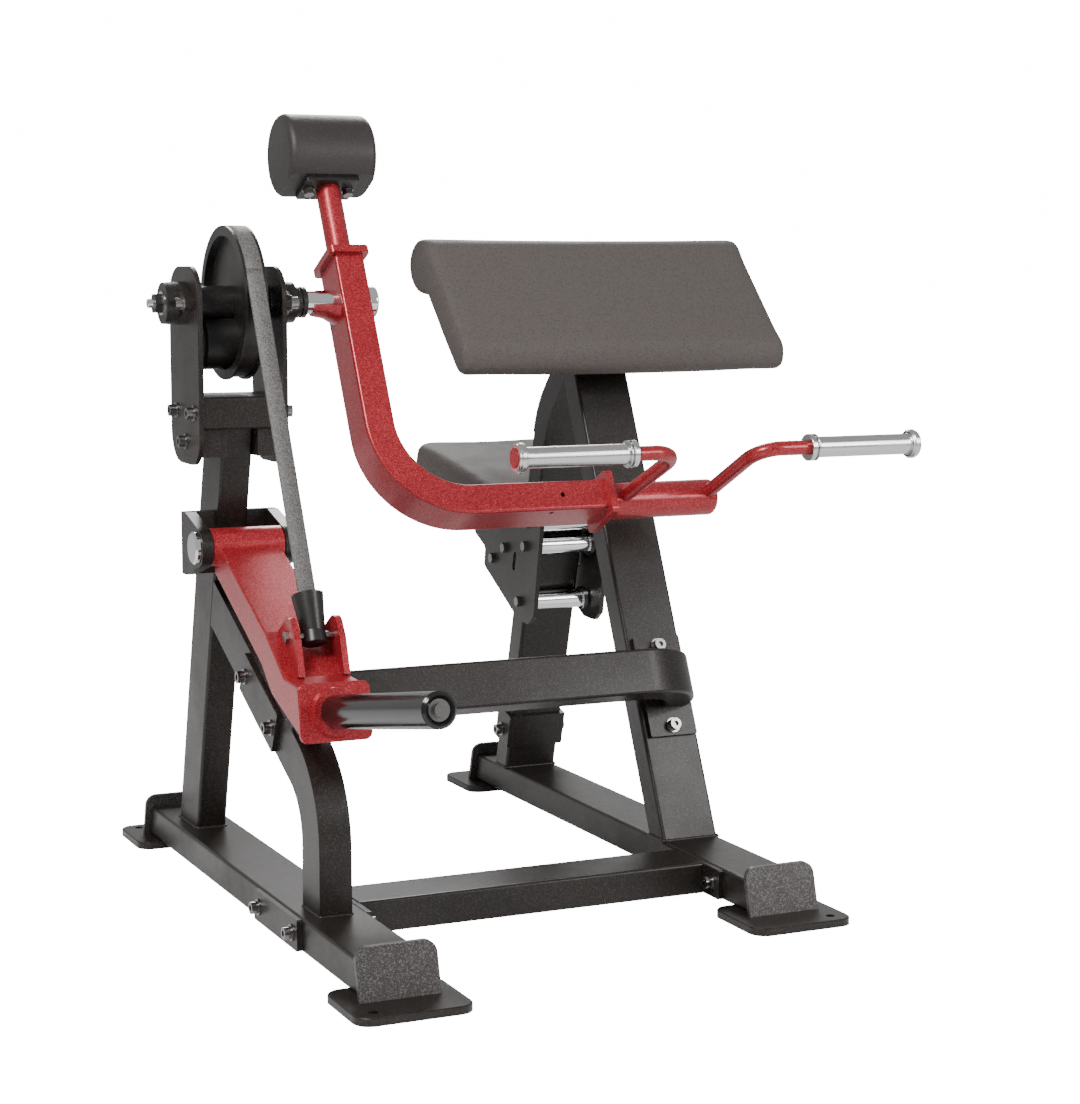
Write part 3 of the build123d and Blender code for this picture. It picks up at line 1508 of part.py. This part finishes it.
# ---------------------------------------------------------------- screws and washers
pad_seats = [
    (
        Plane(
            origin=pad_bracket_plane.offset(plate).from_local_coords(Vector(x, y, 0)),
            x_dir=(1, 0, 0),
            z_dir=pad_bracket_plane.z_dir,
        ),
        0.0,
    )
    for x in (-bracket_wide / 2 + 14, bracket_wide / 2 - 14)
    for y in (-bracket_long / 2 + 18, bracket_long / 2 - 18)
]
frame_seats = cross_seats_left + cross_seats_inner + brace_seats + tower_seats
frame_seats += bearing_seats + post_seats + collar_seats + pad_seats

with BuildPart() as frame_washers:
    for seat, grip in frame_seats:
        with BuildSketch(seat):
            Circle(washer_radius)
            Circle(shank_radius + hole_slack, mode=Mode.SUBTRACT)
        extrude(amount=washer_thick)
keep("frame_washers", frame_washers)

with BuildPart() as frame_screws:
    for seat, grip in frame_seats:
        with BuildSketch(seat.offset(-grip)):
            Circle(shank_radius)
        extrude(amount=grip + washer_thick)
        with BuildSketch(seat.offset(washer_thick)):
            Circle(head_radius)
        extrude(amount=head_height)
        with BuildSketch(seat.offset(washer_thick + head_height)):
            RegularPolygon(key_radius, 6)
        extrude(amount=-key_depth, mode=Mode.SUBTRACT)
keep("frame_screws", frame_screws)

# ---------------------------------------------------------------- move to the shared origin and write
boxes = [piece.bounding_box() for piece in pieces.values()]
middle_x = (min(box.min.X for box in boxes) + max(box.max.X for box in boxes)) / 2
middle_y = (min(box.min.Y for box in boxes) + max(box.max.Y for box in boxes)) / 2
to_centre = Location((-middle_x, -middle_y, -min(box.min.Z for box in boxes)))

os.makedirs("parts", exist_ok=True)
for label, piece in pieces.items():
    moved = piece.moved(to_centre)
    moved.label = label
    export_step(moved, f"parts/{label}.step")
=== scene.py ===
"""Looks of the plate-loaded arm curl machine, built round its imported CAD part. Metres, row frame."""
import json
from math import acos, atan2, ceil, cos, pi, radians, sin, sqrt
import bmesh
import bpy
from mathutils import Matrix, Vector


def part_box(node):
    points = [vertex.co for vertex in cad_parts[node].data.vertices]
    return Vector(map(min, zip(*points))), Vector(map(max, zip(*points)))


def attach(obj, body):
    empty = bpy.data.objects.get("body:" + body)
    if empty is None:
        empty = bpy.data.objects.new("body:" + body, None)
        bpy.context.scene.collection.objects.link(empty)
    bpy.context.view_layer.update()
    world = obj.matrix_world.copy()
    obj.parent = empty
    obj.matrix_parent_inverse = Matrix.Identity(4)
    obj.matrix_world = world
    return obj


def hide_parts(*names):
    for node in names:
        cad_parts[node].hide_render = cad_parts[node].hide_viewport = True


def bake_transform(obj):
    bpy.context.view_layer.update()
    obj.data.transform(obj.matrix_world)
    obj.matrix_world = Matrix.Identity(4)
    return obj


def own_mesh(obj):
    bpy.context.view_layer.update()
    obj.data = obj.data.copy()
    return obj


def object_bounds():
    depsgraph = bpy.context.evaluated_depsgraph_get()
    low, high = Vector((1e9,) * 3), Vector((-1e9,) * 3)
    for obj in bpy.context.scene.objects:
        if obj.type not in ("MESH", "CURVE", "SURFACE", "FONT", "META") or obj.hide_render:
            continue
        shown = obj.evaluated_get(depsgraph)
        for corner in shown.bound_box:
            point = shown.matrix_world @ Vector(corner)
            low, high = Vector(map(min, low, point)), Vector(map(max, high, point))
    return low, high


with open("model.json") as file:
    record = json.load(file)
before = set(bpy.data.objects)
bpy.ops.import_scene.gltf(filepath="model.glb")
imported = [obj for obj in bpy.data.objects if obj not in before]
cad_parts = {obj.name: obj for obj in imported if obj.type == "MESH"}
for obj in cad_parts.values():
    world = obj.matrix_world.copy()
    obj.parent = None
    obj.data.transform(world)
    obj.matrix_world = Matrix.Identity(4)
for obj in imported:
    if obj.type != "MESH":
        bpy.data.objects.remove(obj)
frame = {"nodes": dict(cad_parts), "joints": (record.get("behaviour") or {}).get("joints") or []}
nodes = frame["nodes"]
joints = {joint["name"]: joint for joint in frame["joints"]}
cad_low, cad_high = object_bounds()

# ---------------------------------------------------------------- shared shader groups
# Powder coat, vinyl, cast plastic and rubber all have a fine skin. "Fine skin" gives its height
# and a random value for each small fleck. "Handling" gives a soft mask of touched, dusty areas.


def make_group(name, inputs, outputs):
    """Shader group with these inputs and float outputs, still empty, and its two end nodes."""
    group = bpy.data.node_groups.new(name, "ShaderNodeTree")
    for label, kind in inputs:
        group.interface.new_socket(name=label, in_out="INPUT", socket_type=kind)
    for label in outputs:
        group.interface.new_socket(name=label, in_out="OUTPUT", socket_type="NodeSocketFloat")
    return group, group.nodes.new("NodeGroupInput"), group.nodes.new("NodeGroupOutput")


def make_fine_skin():
    """Group: Vector and Density in, Height and Fleck out."""
    group, inlet, outlet = make_group(
        "Fine skin", (("Vector", "NodeSocketVector"), ("Density", "NodeSocketFloat")), ("Height", "Fleck")
    )
    links = group.links
    noise = group.nodes.new("ShaderNodeTexNoise")
    noise.inputs["Detail"].default_value = 2.0
    links.new(inlet.outputs["Vector"], noise.inputs["Vector"])
    links.new(inlet.outputs["Density"], noise.inputs["Scale"])
    cells = group.nodes.new("ShaderNodeTexVoronoi")
    links.new(inlet.outputs["Vector"], cells.inputs["Vector"])
    links.new(inlet.outputs["Density"], cells.inputs["Scale"])
    split = group.nodes.new("ShaderNodeSeparateColor")
    links.new(cells.outputs["Color"], split.inputs["Color"])
    links.new(noise.outputs["Fac"], outlet.inputs["Height"])
    links.new(split.outputs["Red"], outlet.inputs["Fleck"])
    return group


def make_handling():
    """Group: Vector in, a mask from 0 (clean) to 1 (handled or dusty) out."""
    group, inlet, outlet = make_group("Handling", (("Vector", "NodeSocketVector"),), ("Mask",))
    links = group.links
    broad = group.nodes.new("ShaderNodeTexNoise")
    broad.inputs["Scale"].default_value = 5.5
    broad.inputs["Detail"].default_value = 6.0
    broad.inputs["Roughness"].default_value = 0.62
    links.new(inlet.outputs["Vector"], broad.inputs["Vector"])
    ramp = group.nodes.new("ShaderNodeMapRange")
    ramp.inputs["From Min"].default_value = 0.42
    ramp.inputs["From Max"].default_value = 0.68
    links.new(broad.outputs["Fac"], ramp.inputs["Value"])
    links.new(ramp.outputs["Result"], outlet.inputs["Mask"])
    return group


fine_skin = make_fine_skin()
handling = make_handling()


def start_material(name):
    """New node material, with its node tree, its Principled shader and its Object-coordinate socket."""
    material = bpy.data.materials.new(name)
    material.use_nodes = True
    tree = material.node_tree
    shader = tree.nodes["Principled BSDF"]
    place = tree.nodes.new("ShaderNodeTexCoord")
    return material, tree, shader, place.outputs["Object"]


def use_group(tree, group, vector):
    """Adds a shader group to a tree, fed by the vector socket."""
    node = tree.nodes.new("ShaderNodeGroup")
    node.node_tree = group
    tree.links.new(vector, node.inputs["Vector"])
    return node


def spread(tree, value, low, high):
    """Maps a 0 to 1 socket to the range low to high."""
    node = tree.nodes.new("ShaderNodeMapRange")
    node.inputs["To Min"].default_value = low
    node.inputs["To Max"].default_value = high
    tree.links.new(value, node.inputs["Value"])
    return node.outputs["Result"]


def two_colours(tree, mask, first, second):
    """Mixes two colours by a mask socket."""
    node = tree.nodes.new("ShaderNodeMix")
    node.data_type = "RGBA"
    node.inputs["A"].default_value = (*first, 1)
    node.inputs["B"].default_value = (*second, 1)
    tree.links.new(mask, node.inputs["Factor"])
    return node.outputs["Result"]


def add_bump(tree, shader, height, strength, distance):
    """Feeds a height socket to the shader's normal."""
    bump = tree.nodes.new("ShaderNodeBump")
    bump.inputs["Strength"].default_value = strength
    bump.inputs["Distance"].default_value = distance
    tree.links.new(height, bump.inputs["Height"])
    tree.links.new(bump.outputs["Normal"], shader.inputs["Normal"])


def skin_material(
    name, colours, rough, density, relief, metallic=0.0, coat=0.0, fleck_above=0.8, specular=0.5
):
    """Material with a fine skin: dark and light flecks, handled patches and a fine relief."""
    material, tree, shader, place = start_material(name)
    skin = use_group(tree, fine_skin, place)
    skin.inputs["Density"].default_value = density
    worn = use_group(tree, handling, place)
    fleck = tree.nodes.new("ShaderNodeMapRange")
    fleck.inputs["From Min"].default_value = fleck_above
    tree.links.new(skin.outputs["Fleck"], fleck.inputs["Value"])
    tree.links.new(two_colours(tree, fleck.outputs["Result"], *colours), shader.inputs["Base Color"])
    tree.links.new(spread(tree, worn.outputs["Mask"], *rough), shader.inputs["Roughness"])
    shader.inputs["Metallic"].default_value = metallic
    shader.inputs["Specular IOR Level"].default_value = specular
    shader.inputs["Coat Weight"].default_value = coat
    shader.inputs["Coat Roughness"].default_value = 0.12
    add_bump(tree, shader, skin.outputs["Height"], relief, 0.0006)
    return material


def metal_material(name, colour, rough, density, relief):
    """Bare or plated metal with soft smudges and a very fine surface."""
    material, tree, shader, place = start_material(name)
    skin = use_group(tree, fine_skin, place)
    skin.inputs["Density"].default_value = density
    worn = use_group(tree, handling, place)
    dull = tuple(0.82 * part for part in colour)
    tree.links.new(two_colours(tree, worn.outputs["Mask"], colour, dull), shader.inputs["Base Color"])
    tree.links.new(spread(tree, worn.outputs["Mask"], *rough), shader.inputs["Roughness"])
    shader.inputs["Metallic"].default_value = 1.0
    add_bump(tree, shader, skin.outputs["Height"], relief, 0.0003)
    return material


def paint(material, *names):
    """Gives CAD nodes their material."""
    for name in names:
        nodes[name].data.materials.clear()
        nodes[name].data.materials.append(material)


# ---------------------------------------------------------------- frame: dark powder coat
# The frame's tubes and plates carry a brown-black powder coat with a fine sparkle: light flecks in a
# dark coat, semi-gloss, rougher where hands and dust have been.
frame_coat = skin_material(
    "Dark powder coat", ((0.0100, 0.0074, 0.0062), (0.062, 0.048, 0.041)),
    rough=(0.32, 0.44), density=1100, relief=0.25, metallic=0.1, coat=0.08, specular=0.38,
)
paint(
    frame_coat, "base_rails", "foot_plates", "lower_cross_tube", "cross_tube_plates", "left_upright",
    "front_leg", "tower_cross_box", "tower_side_blocks", "bearing_plates", "shaft_bearings",
    "lever_bracket", "front_post", "rear_post", "rear_post_head", "post_foot_collar",
    "upper_cross_tube", "arm_pad_bracket", "carriage_side_plates", "clamp_cross_block", "seat_bracket",
)

# The four kick plates read as a lighter, hammered grey that sparkles.
kick_coat = skin_material(
    "Hammered grey coat", ((0.050, 0.045, 0.043), (0.16, 0.152, 0.148)),
    rough=(0.36, 0.48), density=700, relief=0.5, metallic=0.5, coat=0.2, fleck_above=0.6,
)
paint(kick_coat, "kick_plates")

# ---------------------------------------------------------------- moving parts: red metallic coat
# The swing arm, handle tube, bars and weight lever are bright metallic red, glossier than the frame.
red_coat = skin_material(
    "Red metallic coat", ((0.26, 0.0065, 0.011), (0.60, 0.060, 0.075)),
    rough=(0.30, 0.40), density=1000, relief=0.22, metallic=0.35, coat=0.3, fleck_above=0.55, specular=0.4,
)
paint(
    red_coat, "arm_tube", "arm_shaft_boss", "arm_plates", "arm_neck", "handle_tube", "handle_bars",
    "lever_box", "lever_tube", "clevis_ears", "horn_plate", "grip_end_plugs",
)

# ---------------------------------------------------------------- bright metal
# Chrome on the shaft, the lever's pin and the guide rollers; duller zinc on screws, washers and nuts.
chrome = metal_material("Chrome", (0.80, 0.80, 0.81), rough=(0.05, 0.14), density=220, relief=0.03)
paint(
    chrome, "main_shaft", "shaft_end_cap", "lever_pin",
    "front_roller_low", "front_roller_mid", "front_roller_top", "rear_roller",
)
zinc = metal_material("Zinc plate", (0.26, 0.25, 0.245), rough=(0.20, 0.34), density=900, relief=0.10)
paint(
    zinc, "frame_screws", "frame_washers", "carriage_bolts", "counterweight_bolts", "lever_fasteners",
)

# ---------------------------------------------------------------- dark mouldings
# Belt wheel, stop drum, belt sleeve, collars and the counterweight's plate are black castings, and the
# weight horn is plated black. The counterweight has a matt brown-black moulded case. Knob, boards and
# rest block are plain dark materials with their own grain.
black_cast = skin_material(
    "Black casting", ((0.010, 0.0085, 0.0078), (0.030, 0.026, 0.024)),
    rough=(0.34, 0.5), density=800, relief=0.3, coat=0.08, specular=0.4,
)
paint(
    black_cast, "belt_wheel", "wheel_stop_drum", "belt_sleeve", "shaft_collars", "counterweight_plate",
)
horn_black = skin_material(
    "Black plated tube", ((0.006, 0.0055, 0.0055), (0.012, 0.011, 0.011)),
    rough=(0.12, 0.20), density=900, relief=0.05, specular=0.45,
)
paint(horn_black, "weight_horn")
weight_case = skin_material(
    "Moulded case", ((0.022, 0.018, 0.017), (0.045, 0.038, 0.036)),
    rough=(0.42, 0.55), density=1000, relief=0.3,
)
paint(weight_case, "counterweight")
rest_rubber = skin_material(
    "Rest block rubber", ((0.014, 0.013, 0.013), (0.03, 0.028, 0.027)),
    rough=(0.6, 0.8), density=700, relief=0.4,
)
paint(rest_rubber, "lever_rest_block")
knob_plastic = skin_material(
    "Knob plastic", ((0.012, 0.012, 0.013), (0.025, 0.025, 0.026)),
    rough=(0.2, 0.32), density=900, relief=0.12, coat=0.3,
)
paint(knob_plastic, "clamp_knob")


def board_material():
    """Painted plywood: long grain lines along X under a dark paint."""
    grain_along = 8
    grain_across = 160
    material, tree, shader, place = start_material("Painted plywood")
    stretch = tree.nodes.new("ShaderNodeMapping")
    stretch.inputs["Scale"].default_value = (grain_along, grain_across, grain_across)
    tree.links.new(place, stretch.inputs["Vector"])
    grain = tree.nodes.new("ShaderNodeTexNoise")
    grain.inputs["Scale"].default_value = 1.0
    grain.inputs["Detail"].default_value = 5.0
    tree.links.new(stretch.outputs["Vector"], grain.inputs["Vector"])
    colour = two_colours(tree, grain.outputs["Fac"], (0.03, 0.024, 0.02), (0.09, 0.07, 0.055))
    tree.links.new(colour, shader.inputs["Base Color"])
    shader.inputs["Roughness"].default_value = 0.6
    add_bump(tree, shader, grain.outputs["Fac"], 0.3, 0.0005)
    return material


paint(board_material(), "arm_pad_board", "seat_board")


# ---------------------------------------------------------------- knurled grips
# Aluminium sleeves with a cut diamond knurl. The knurl is two crossed sets of spiral lines, made from
# the angle round the grip's axis and the distance along it.
def knurl_material():
    """Aluminium with a diamond knurl round an axis along X."""
    lines_round = 52
    radians_per_metre = 2400
    low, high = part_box("grips")
    material, tree, shader, place = start_material("Knurled aluminium")
    split = tree.nodes.new("ShaderNodeSeparateXYZ")
    tree.links.new(place, split.inputs["Vector"])

    def maths(operation, first, second):
        """Math node on two values or sockets."""
        node = tree.nodes.new("ShaderNodeMath")
        node.operation = operation
        for socket, value in zip(node.inputs, (first, second)):
            if isinstance(value, (int, float)):
                socket.default_value = value
            else:
                tree.links.new(value, socket)
        return node.outputs["Value"]

    across = maths("SUBTRACT", split.outputs["Y"], (low.y + high.y) / 2)
    above = maths("SUBTRACT", split.outputs["Z"], (low.z + high.z) / 2)
    turn = maths("MULTIPLY", maths("ARCTAN2", above, across), lines_round / 2)
    reach = maths("MULTIPLY", split.outputs["X"], radians_per_metre)
    right_hand = maths("ABSOLUTE", maths("SINE", maths("ADD", turn, reach), 0), 0)
    left_hand = maths("ABSOLUTE", maths("SINE", maths("SUBTRACT", turn, reach), 0), 0)
    height = maths("MULTIPLY", right_hand, left_hand)
    worn = use_group(tree, handling, place)
    # Painted shade: the knurl's grooves are painted darker and its ridges lighter, following the knurl
    # height.
    colour = two_colours(tree, height, (0.52, 0.52, 0.52), (0.74, 0.74, 0.73))
    tree.links.new(colour, shader.inputs["Base Color"])
    tree.links.new(spread(tree, worn.outputs["Mask"], 0.16, 0.28), shader.inputs["Roughness"])
    shader.inputs["Metallic"].default_value = 1.0
    add_bump(tree, shader, height, 0.12, 0.0004)
    return material


paint(knurl_material(), "grips")


# ---------------------------------------------------------------- arm pad and seat cushion
# Foam blocks under stretched vinyl. Each starts as an even skin over its CAD solid, drawn in a little.
# A short cloth simulation puffs it out, with its movement capped, and then it is relaxed and rounded.
vinyl = skin_material(
    "Brown-grey vinyl", ((0.092, 0.080, 0.075), (0.068, 0.059, 0.055)),
    rough=(0.58, 0.72), density=520, relief=0.36, fleck_above=0.55, specular=0.2,
)


def bake(piece):
    """Replaces a piece's mesh with what its modifiers make of it."""
    depsgraph = bpy.context.evaluated_depsgraph_get()
    mesh = bpy.data.meshes.new_from_object(piece.evaluated_get(depsgraph))
    piece.modifiers.clear()
    piece.data = mesh


def even_skin(node, name, cell):
    """Copy of a CAD node's mesh, remeshed to cells this wide."""
    piece = bpy.data.objects.new(name, nodes[node].data.copy())
    bpy.context.scene.collection.objects.link(piece)
    piece.data.materials.clear()
    remesh = piece.modifiers.new("Even skin", "REMESH")
    remesh.mode = "VOXEL"
    remesh.voxel_size = cell
    bake(piece)
    return piece


def puff(piece, pressure, most):
    """Blows the skin up as cloth for a few frames, and keeps each point within `most` of its place."""
    frames = 20
    before = [vertex.co.copy() for vertex in piece.data.vertices]
    cloth = piece.modifiers.new("Puff", "CLOTH")
    cloth.settings.use_pressure = True
    cloth.settings.uniform_pressure_force = pressure
    cloth.settings.effector_weights.gravity = 0
    cloth.settings.quality = 5
    for step in range(1, frames + 1):
        bpy.context.scene.frame_set(step)
    bake(piece)
    for vertex, home in zip(piece.data.vertices, before):
        move = vertex.co - home
        if move.length > most:
            vertex.co = home + move * (most / move.length)
    bpy.context.scene.frame_set(1)


def cushion(node, name, body, cell):
    """Stuffed piece that stands for a soft CAD node and rides on its body."""
    shrink = 0.0015
    piece = even_skin(node, name, cell)
    for vertex in piece.data.vertices:
        vertex.co -= vertex.normal * shrink
    puff(piece, pressure=1.5, most=0.003)
    relax = piece.modifiers.new("Relax", "SMOOTH")
    relax.factor = 0.5
    relax.iterations = 14
    bake(piece)
    smooth = piece.modifiers.new("Smooth", "SUBSURF")
    smooth.levels = 1
    smooth.render_levels = 1
    piece.data.materials.append(vinyl)
    for face in piece.data.polygons:
        face.use_smooth = True
    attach(piece, body)
    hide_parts(node)


cushion("arm_pad", "arm_pad_cushion", "frame", cell=0.006)
cushion("seat_cushion", "seat_cushion_cover", "carriage", cell=0.005)

# ---------------------------------------------------------------- belt
# A flat drive belt with rounded edges and fine cords along its length: a strip wound round the wheel and a
# free span that rides on the belt clevis.
belt_thick = 0.004
belt_edge = 0.0012
span_low, span_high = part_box("belt_span")
belt_wide = span_high.x - span_low.x
hub = Vector(joints["arm_swing"]["pos_m"])
clevis = Vector(joints["belt_tilt"]["pos_m"])
belt_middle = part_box("belt_wrap")[1].z - hub.z - belt_thick / 2
away = hub - clevis
span_length = sqrt(away.length_squared - belt_middle**2)
belt_angle = atan2(away.z, away.y) + acos(span_length / away.length)
belt_dir = Vector((0, cos(belt_angle), sin(belt_angle)))


def belt_material():
    """Grey woven belt: fine cords side by side across its width and small light flecks."""
    material, tree, shader, place = start_material("Grey belt")
    cords = tree.nodes.new("ShaderNodeTexWave")
    cords.inputs["Scale"].default_value = 210
    cords.inputs["Distortion"].default_value = 0.6
    tree.links.new(place, cords.inputs["Vector"])
    skin = use_group(tree, fine_skin, place)
    skin.inputs["Density"].default_value = 900
    colour = two_colours(tree, skin.outputs["Fleck"], (0.034, 0.031, 0.029), (0.17, 0.162, 0.156))
    tree.links.new(colour, shader.inputs["Base Color"])
    shader.inputs["Roughness"].default_value = 0.5
    add_bump(tree, shader, cords.outputs["Fac"], 0.4, 0.0004)
    return material


grey_belt = belt_material()


def ribbon(name, places):
    """Closed belt strip through (point, outward direction) pairs, its edges rounded."""
    half = belt_wide / 2
    lift = belt_thick / 2
    section = [
        (-half, -lift + belt_edge), (-half + belt_edge, -lift), (half - belt_edge, -lift),
        (half, -lift + belt_edge), (half, lift - belt_edge), (half - belt_edge, lift),
        (-half + belt_edge, lift), (-half, lift - belt_edge),
    ]
    mesh = bpy.data.meshes.new(name)
    shape = bmesh.new()
    rings = [
        [shape.verts.new(point + Vector((across, 0, 0)) + outward * rise) for across, rise in section]
        for point, outward in places
    ]
    count = len(section)
    for ring, following in zip(rings, rings[1:]):
        for i in range(count):
            j = (i + 1) % count
            shape.faces.new((ring[i], ring[j], following[j], following[i]))
    shape.faces.new(rings[0])
    shape.faces.new(rings[-1])
    bmesh.ops.recalc_face_normals(shape, faces=shape.faces)
    shape.to_mesh(mesh)
    shape.free()
    for face in mesh.polygons:
        face.use_smooth = face.area > belt_thick**2
    piece = bpy.data.objects.new(name, mesh)
    bpy.context.scene.collection.objects.link(piece)
    mesh.materials.append(grey_belt)
    return piece


belt_out = Vector((0, -belt_dir.z, belt_dir.y))
span_start = (Vector((0, span_low.y, span_low.z)) - Vector((0, clevis.y, clevis.z))).dot(belt_dir)
span_steps = 60
span_pitch = (span_length - span_start) / span_steps
span_places = [
    (clevis + belt_dir * (span_start + span_pitch * i), belt_out) for i in range(span_steps + 1)
]
belt_span = ribbon("belt_free_span", span_places)
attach(belt_span, "belt_clevis")
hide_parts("belt_span")
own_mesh(belt_span)

wrap_turn = radians(165)
wrap_steps = 90
wheel_gap = 0.0002
wrap_places = []
for i in range(wrap_steps + 1):
    turn = belt_angle + pi / 2 - wrap_turn * i / wrap_steps
    outward = Vector((0, cos(turn), sin(turn)))
    wrap_places.append((hub + outward * (belt_middle + wheel_gap), outward))
belt_wrap = ribbon("belt_on_wheel", wrap_places)
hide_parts("belt_wrap")
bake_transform(belt_wrap)


# ---------------------------------------------------------------- weld beads
# Rippled fillet welds where the tubes stand on the rails. Each bead is a thin closed ring along the joint,
# under the same coat as the metal round it.
def foot_corners(node):
    """The four corners of a tube's lowest cut, from the points that lie in it."""
    points = [vertex.co for vertex in nodes[node].data.vertices]
    lowest = min(point.z for point in points)
    near = [point for point in points if point.z < lowest + 0.0005]
    xs = [point.x for point in near]
    ys = [point.y for point in near]
    return [
        Vector((x, y, lowest))
        for x, y in ((min(xs), min(ys)), (max(xs), min(ys)), (max(xs), max(ys)), (min(xs), max(ys)))
    ]


def bead(name, corners, material, body, radius=0.0032):
    """Rippled weld bead round a closed loop of corners."""
    pitch = 0.0035
    sides = 8
    trough = 0.82
    around = [(cos(2 * pi * s / sides), sin(2 * pi * s / sides)) for s in range(sides)]
    mesh = bpy.data.meshes.new(name)
    shape = bmesh.new()
    rings = []
    for k, corner in enumerate(corners):
        following = corners[(k + 1) % len(corners)]
        before = corners[k - 1]
        ahead = (following - corner).normalized()
        behind = (corner - before).normalized()
        steps = ceil((following - corner).length / pitch)
        for step in range(steps):
            run = (behind + ahead).normalized() if step == 0 else ahead
            side = run.cross(Vector((0, 0, 1))).normalized()
            lift = side.cross(run).normalized()
            centre = corner.lerp(following, step / steps)
            swell = radius * (1.0 if step % 2 else trough)
            rings.append([
                shape.verts.new(centre + (side * out + lift * up) * swell) for out, up in around
            ])
    for ring, following in zip(rings, rings[1:] + rings[:1]):
        for i in range(sides):
            j = (i + 1) % sides
            shape.faces.new((ring[i], ring[j], following[j], following[i]))
    bmesh.ops.recalc_face_normals(shape, faces=shape.faces)
    shape.to_mesh(mesh)
    shape.free()
    for face in mesh.polygons:
        face.use_smooth = True
    mesh.materials.append(material)
    piece = bpy.data.objects.new(name, mesh)
    bpy.context.scene.collection.objects.link(piece)
    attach(piece, body)
    return piece


for node in ("left_upright", "front_leg", "front_post", "rear_post"):
    bead(f"weld_{node}", foot_corners(node), frame_coat, "frame")

# ---------------------------------------------------------------- floor and light
# A white floor that runs into a white room. Both glow for the camera only, and what the machine
# reflects is dimmer. One soft key stands above left, with a fill and a rim.
white_glow = 16.0
room_light = 0.5
floor_size = 60.0
floor_mesh = bpy.data.meshes.new("floor")
floor_shape = bmesh.new()
bmesh.ops.create_grid(floor_shape, x_segments=1, y_segments=1, size=floor_size / 2)
floor_shape.to_mesh(floor_mesh)
floor_shape.free()
floor = bpy.data.objects.new("floor", floor_mesh)
bpy.context.scene.collection.objects.link(floor)
floor_material, floor_tree, floor_shader, floor_place = start_material("Pale floor")
floor_mask = use_group(floor_tree, handling, floor_place)
floor_colour = two_colours(floor_tree, floor_mask.outputs["Mask"], (0.88, 0.88, 0.88), (0.86, 0.86, 0.86))
floor_tree.links.new(floor_colour, floor_shader.inputs["Base Color"])
floor_shader.inputs["Roughness"].default_value = 0.6
floor_shader.inputs["Emission Color"].default_value = (1.0, 1.0, 1.0, 1)
floor_seen = floor_tree.nodes.new("ShaderNodeLightPath")
floor_glow = floor_tree.nodes.new("ShaderNodeMapRange")
floor_glow.inputs["To Min"].default_value = 0.0
floor_glow.inputs["To Max"].default_value = white_glow
floor_tree.links.new(floor_seen.outputs["Is Camera Ray"], floor_glow.inputs["Value"])
floor_tree.links.new(floor_glow.outputs["Result"], floor_shader.inputs["Emission Strength"])
floor_mesh.materials.append(floor_material)

world = bpy.data.worlds.new("Room")
bpy.context.scene.world = world
world.use_nodes = True
sky = world.node_tree.nodes["Background"]
sky.inputs["Color"].default_value = (1.0, 1.0, 1.0, 1)
seen = world.node_tree.nodes.new("ShaderNodeLightPath")
brightness = world.node_tree.nodes.new("ShaderNodeMapRange")
brightness.inputs["To Min"].default_value = room_light
brightness.inputs["To Max"].default_value = white_glow
world.node_tree.links.new(seen.outputs["Is Camera Ray"], brightness.inputs["Value"])
world.node_tree.links.new(brightness.outputs["Result"], sky.inputs["Strength"])


def soft_light(name, place, target, size, power):
    """Square area light aimed at a point."""
    data = bpy.data.lights.new(name, "AREA")
    data.size = size
    data.energy = power
    light = bpy.data.objects.new(name, data)
    light.location = place
    light.rotation_euler = (Vector(target) - Vector(place)).to_track_quat("-Z", "Y").to_euler()
    bpy.context.scene.collection.objects.link(light)


machine_middle = (cad_low + cad_high) / 2
soft_light("key", (-2.6, -1.8, 3.4), machine_middle, 1.2, 170)
soft_light("fill", (2.6, -3.6, 2.2), machine_middle, 1.6, 90)
soft_light("rim", (1.2, 3.2, 3.0), machine_middle, 1.4, 90)

# ---------------------------------------------------------------- camera
# The viewer stands off the weight side's front corner, a little above the pad, with a long lens.
view_turn = radians(-24.62)
view_height = radians(6.85)
view_reach = 3.98
view_target = Vector((0.0139, -0.0005, 0.534))
back = Vector((
    sin(view_turn) * cos(view_height),
    -cos(view_turn) * cos(view_height),
    sin(view_height),
))
camera_data = bpy.data.cameras.new("camera")
camera_data.lens = 79.11
camera = bpy.data.objects.new("camera", camera_data)
camera.location = view_target + back * view_reach
camera.rotation_euler = back.to_track_quat("Z", "Y").to_euler()
bpy.context.scene.collection.objects.link(camera)
bpy.context.scene.camera = camera
